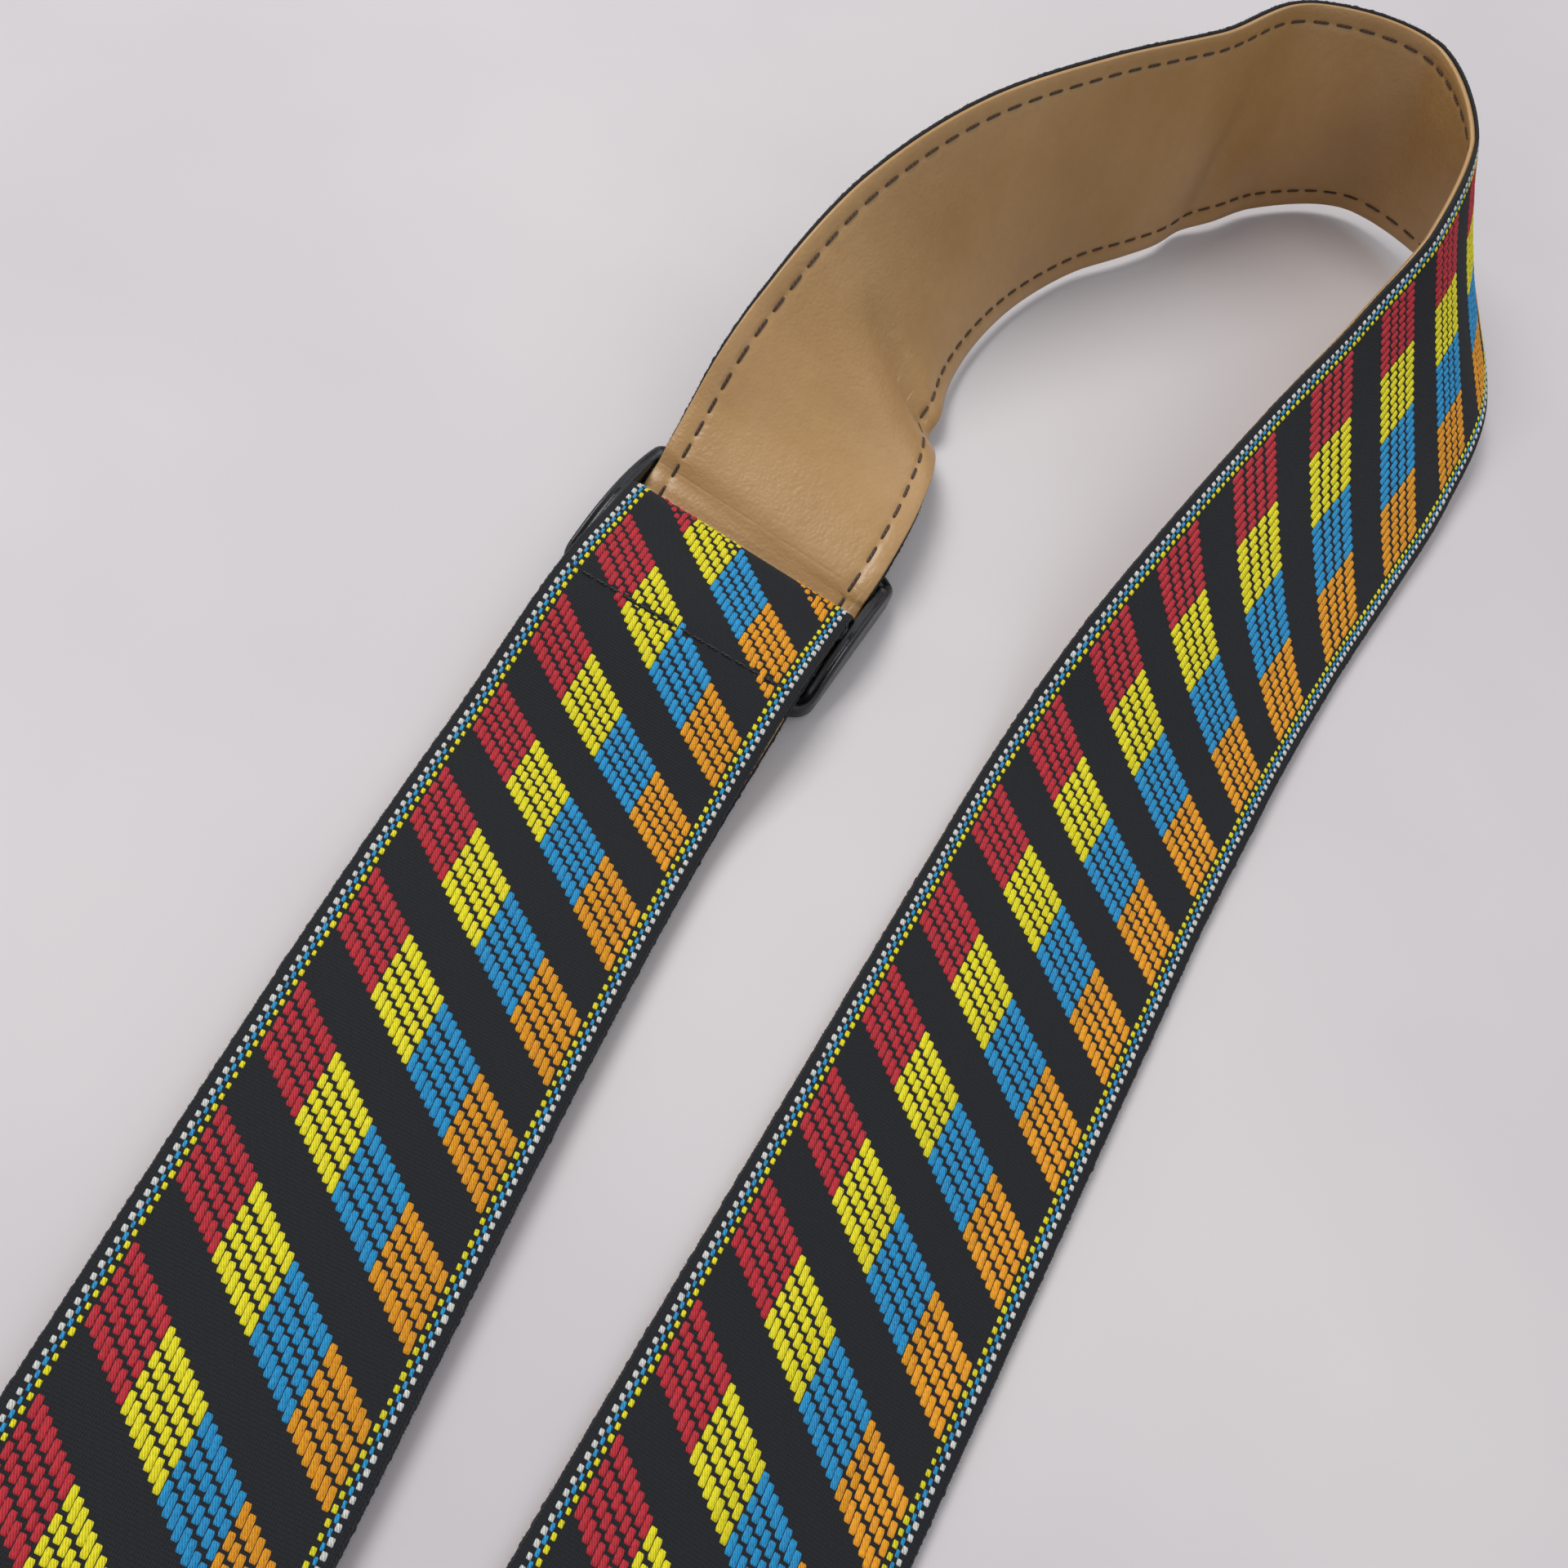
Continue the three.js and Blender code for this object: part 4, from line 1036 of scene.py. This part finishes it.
def ply_mesh(outline, low, high, edge=0.55):
    """A flat ply of leather with a button hole and rounded edges, as mesh data in millimetres."""
    curve = bpy.data.curves.new("ply", "CURVE")
    curve.dimensions = "2D"
    curve.fill_mode = "BOTH"
    curve.extrude = (high - low) / 2 - edge
    curve.bevel_depth = edge
    curve.bevel_resolution = 3
    curve.offset = -edge
    for points in (outline, button_hole()):
        spline = curve.splines.new("POLY")
        spline.points.add(len(points) - 1)
        flat = np.column_stack([points, np.zeros(len(points)), np.ones(len(points))])
        spline.points.foreach_set("co", flat.ravel())
        spline.use_cyclic_u = True
    holder = bpy.data.objects.new("ply", curve)
    mesh = bpy.data.meshes.new_from_object(holder)
    points = np.array([vertex.co for vertex in mesh.vertices]) + [0, 0, (low + high) / 2]
    faces = [list(polygon.vertices) for polygon in mesh.polygons]
    bpy.data.objects.remove(holder)
    return points, faces


def front_place(points):
    """From the front tab's own millimetres to the row frame."""
    (end_x, end_y), (next_x, next_y) = LONG_ROUTE[0][:2], LONG_ROUTE[1][:2]
    turn = math.atan2(end_x - next_x, next_y - end_y)
    x, y, z = np.moveaxis(np.asarray(points, float), -1, 0)
    return to_row(np.stack([end_x + x * math.cos(turn) - y * math.sin(turn),
                            end_y + x * math.sin(turn) + y * math.cos(turn), z], axis=-1))


def rear_place(points):
    return to_row(np.asarray(points, float) + [tail_x(-TAIL_LENGTH), -TAIL_LENGTH - RING_SPAN, 0])


def add_leather(name, parts, place, look, node, body):
    """Joins plies and folds into one piece of leather."""
    points, faces = [], []
    for part_points, part_faces in parts:
        shift = sum(len(p) for p in points)
        faces += [[k + shift for k in face] for face in part_faces]
        points.append(part_points)
    piece = new_mesh(name, place(np.vstack(points)), np.empty((0, 4), int), materials=[MATERIALS[look]],
                     extra_faces=faces)
    piece.data.polygons.foreach_set("use_smooth", np.ones(len(piece.data.polygons), bool))
    modifier = piece.modifiers.new("even_normals", "WEIGHTED_NORMAL")
    modifier.keep_sharp = False
    stand_for(piece, node, body)


def along_line(points, place, height):
    """A place(s, v, h) for stitches that follow a flat line in a tab's own millimetres."""
    steps = np.linalg.norm(np.diff(points, axis=0), axis=1)
    lengths = np.concatenate([[0], np.cumsum(steps)])
    ahead = unit(np.gradient(points, axis=0))

    def placed(s, v, h):
        x, y = (np.interp(s, lengths, points[:, k]) for k in (0, 1))
        dx, dy = (np.interp(s, lengths, ahead[:, k]) for k in (0, 1))
        return place(np.stack([x + v * dy, y - v * dx, height + h], axis=-1))

    return placed, lengths[-1]


def tab_stitches(line_points, place, height, pitch=3.6):
    placed, length = along_line(line_points, place, height)
    count = int(length / pitch)
    middles = (np.arange(count) + 0.5) * length / count
    return stitch_row(placed, middles, 0, 0.02, 1, length=pitch * 0.8, radius=0.34)


def add_front_tab():
    lap = np.array([[-TAB_HALF_WIDTH, TAB_LAP], [TAB_HALF_WIDTH, TAB_LAP]])
    low, high = STRAP_THICK + 0.2, STRAP_THICK + 0.3 + TAB_THICK
    outline = np.vstack([lap, tab_side(TAB_LAP - 1)[1:-1]])
    top, under = ply_mesh(outline, low, high), ply_mesh(tab_side(-0.3), 0, STRAP_THICK + 0.1)
    add_leather("front_tab_top", [top], front_place, "leather", "front_tab_leather", "strap")
    add_leather("front_tab_underside", [under], front_place, "lining", "front_tab_lining", "strap")
    half, near, far = TAB_HALF_WIDTH - TAB_SEAM_INSET, TAB_SEAM_INSET, TAB_LAP - TAB_SEAM_INSET
    corners = [(-half, near), (half, near), (half, far), (-half, far)]
    sides = [line(a, b, 30) for a, b in zip(corners, corners[1:] + corners[:1])]
    crossed = [line(corners[0], corners[2], 30), line(corners[1], corners[3], 30)]
    rows = [tab_stitches(side, front_place, high) for side in sides + crossed]
    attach(add_stitches("front_tab_box_stitches", rows, "black_stitch", ["front_tab_box_seam"]), "strap")
    row = tab_stitches(tab_side(-TAB_SEAM_INSET, TAB_SEAM_INSET), front_place, high)
    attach(add_stitches("front_tab_edge_stitches", [row], "black_stitch", ["front_tab_edge_seam"]), "strap")


def rear_fold():
    """The leather round the ring, from the lower ply to the upper one."""
    radius, root = RING_ROD / 2 + 0.3 + TAB_THICK / 2, -REAR_PLY_ROOT - 1
    low, high = TAB_THICK / 2, 1.5 * TAB_THICK + 0.3
    path = np.vstack([
        bezier((root, low), (-14, low), (-6, RING_Z - radius), (0, RING_Z - radius), 24)[:-1],
        arc((0, RING_Z), radius, -math.pi / 2, math.pi / 2, 24),
        bezier((0, RING_Z + radius), (-8, RING_Z + radius), (-14, high), (root, high), 24)[1:],
    ])
    ahead = unit(np.gradient(path, axis=0))
    outwards = np.column_stack([ahead[:, 1], -ahead[:, 0]])
    half, edge = TAB_HALF_WIDTH - 0.55, 0.55
    side = np.array([[half, 1], [half + edge * 0.7, 0.75], [half + edge, 0.4], [half + edge, -0.4],
                     [half + edge * 0.7, -0.75], [half, -1]])
    section = np.vstack([np.column_stack([np.linspace(-half, half, 12), np.ones(12)]), side[1:],
                         np.column_stack([np.linspace(half, -half, 12)[1:], -np.ones(11)]),
                         side[-2:0:-1] * [-1, 1]])
    rings = np.empty((len(path), len(section), 3))
    rings[..., 0] = section[:, 0]
    rings[..., 1:] = path[:, None, :] + outwards[:, None, :] * (TAB_THICK / 2 * section[:, 1])[:, None]
    count = len(section)
    faces = grid_faces(len(path), count, closed_columns=True).tolist()
    last = (len(path) - 1) * count
    faces += [list(range(count))[::-1], list(range(last, last + count))]
    return rings.reshape(-1, 3), faces


def add_rear_tab():
    top = 2 * TAB_THICK + 0.3
    parts = [ply_mesh(tab_side(-REAR_PLY_ROOT), 0, TAB_THICK + 0.1), rear_fold(),
             ply_mesh(tab_side(-REAR_PLY_ROOT), TAB_THICK + 0.2, top)]
    add_leather("rear_tab_fold", parts, rear_place, "leather", "rear_tab_leather", "rear_tab")
    side = tab_side(-REAR_PLY_ROOT - 1 - TAB_SEAM_INSET, TAB_SEAM_INSET)
    closed = np.vstack([side, line(side[-1], side[0], 30)[1:]])
    row = tab_stitches(closed, rear_place, top)
    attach(add_stitches("rear_tab_edge_stitches", [row], "black_stitch", ["rear_tab_edge_seam"]), "rear_tab")


add_front_tab()
add_rear_tab()


# ---------- floor, light and camera ----------
def add_floor():
    look = Look("floor", linear(206, 202, 204), 0.8)
    mm = look.object_mm()
    look.colour(look.mix(look.spread(look.noise(mm, 0.004, 4), 0.35, 0.7), linear(212, 208, 209),
                         linear(196, 191, 195)))
    size = 3.0
    corners = [(-size, -size, 0), (size, -size, 0), (size, size, 0), (-size, size, 0)]
    floor = new_mesh("floor", corners, [[0, 1, 2, 3]], materials=[look.material])
    floor.location.z = CAD_BOX[0][2] - 0.0002


# name: (place, size, watts, colour)
LIGHTS = {
    "key": ((-0.75, 0.25, 1.15), (0.8, 0.6), 13, (1.0, 0.985, 0.96)),
    "fill": ((0.9, -0.7, 1.2), (1.4, 1.2), 3.5, (0.95, 0.98, 1.0)),
    "back": ((0.2, 1.3, 1.1), (1.6, 0.9), 3, (1.0, 1.0, 1.0)),
}
WORLD_COLOUR, WORLD_STRENGTH = (0.93, 0.95, 1.0, 1), 0.42
CAMERA_PLACE, CAMERA_LENS = (55.5, -183.2, 248.85), 36.06
CAMERA_TURNS = ((8.7, "Z"), (31.757, "X"), (24.998, "Z"))


def add_light(name, place, size, power, colour, target):
    light = bpy.data.lights.new(name, "AREA")
    light.shape = "RECTANGLE"
    light.size, light.size_y = size
    light.energy = power
    light.color = colour
    lamp = bpy.data.objects.new(name, light)
    bpy.context.scene.collection.objects.link(lamp)
    lamp.location = place
    lamp.rotation_euler = (Vector(target) - Vector(place)).to_track_quat("-Z", "Y").to_euler()


def add_lights():
    middle = tuple(to_row((40, -60, 10)))
    for name, settings in LIGHTS.items():
        add_light(name, *settings, middle)
    world = bpy.data.worlds.new("studio")
    world.use_nodes = True
    background = world.node_tree.nodes["Background"].inputs
    background["Color"].default_value = WORLD_COLOUR
    background["Strength"].default_value = WORLD_STRENGTH
    bpy.context.scene.world = world


def add_camera():
    """The photographer's place: 249 mm above the surface, looking down across the strap."""
    data = bpy.data.cameras.new("camera")
    data.lens = CAMERA_LENS
    data.sensor_width = 36.0
    data.clip_start = 0.01
    camera = bpy.data.objects.new("camera", data)
    bpy.context.scene.collection.objects.link(camera)
    first, second, third = (Matrix.Rotation(math.radians(turn), 4, axis) for turn, axis in CAMERA_TURNS)
    camera.matrix_world = Matrix.Translation(Vector(to_row(CAMERA_PLACE))) @ (first @ second @ third)
    bpy.context.scene.camera = camera


add_floor()
add_lights()
add_camera()
bpy.context.scene.view_settings.view_transform = "Standard"
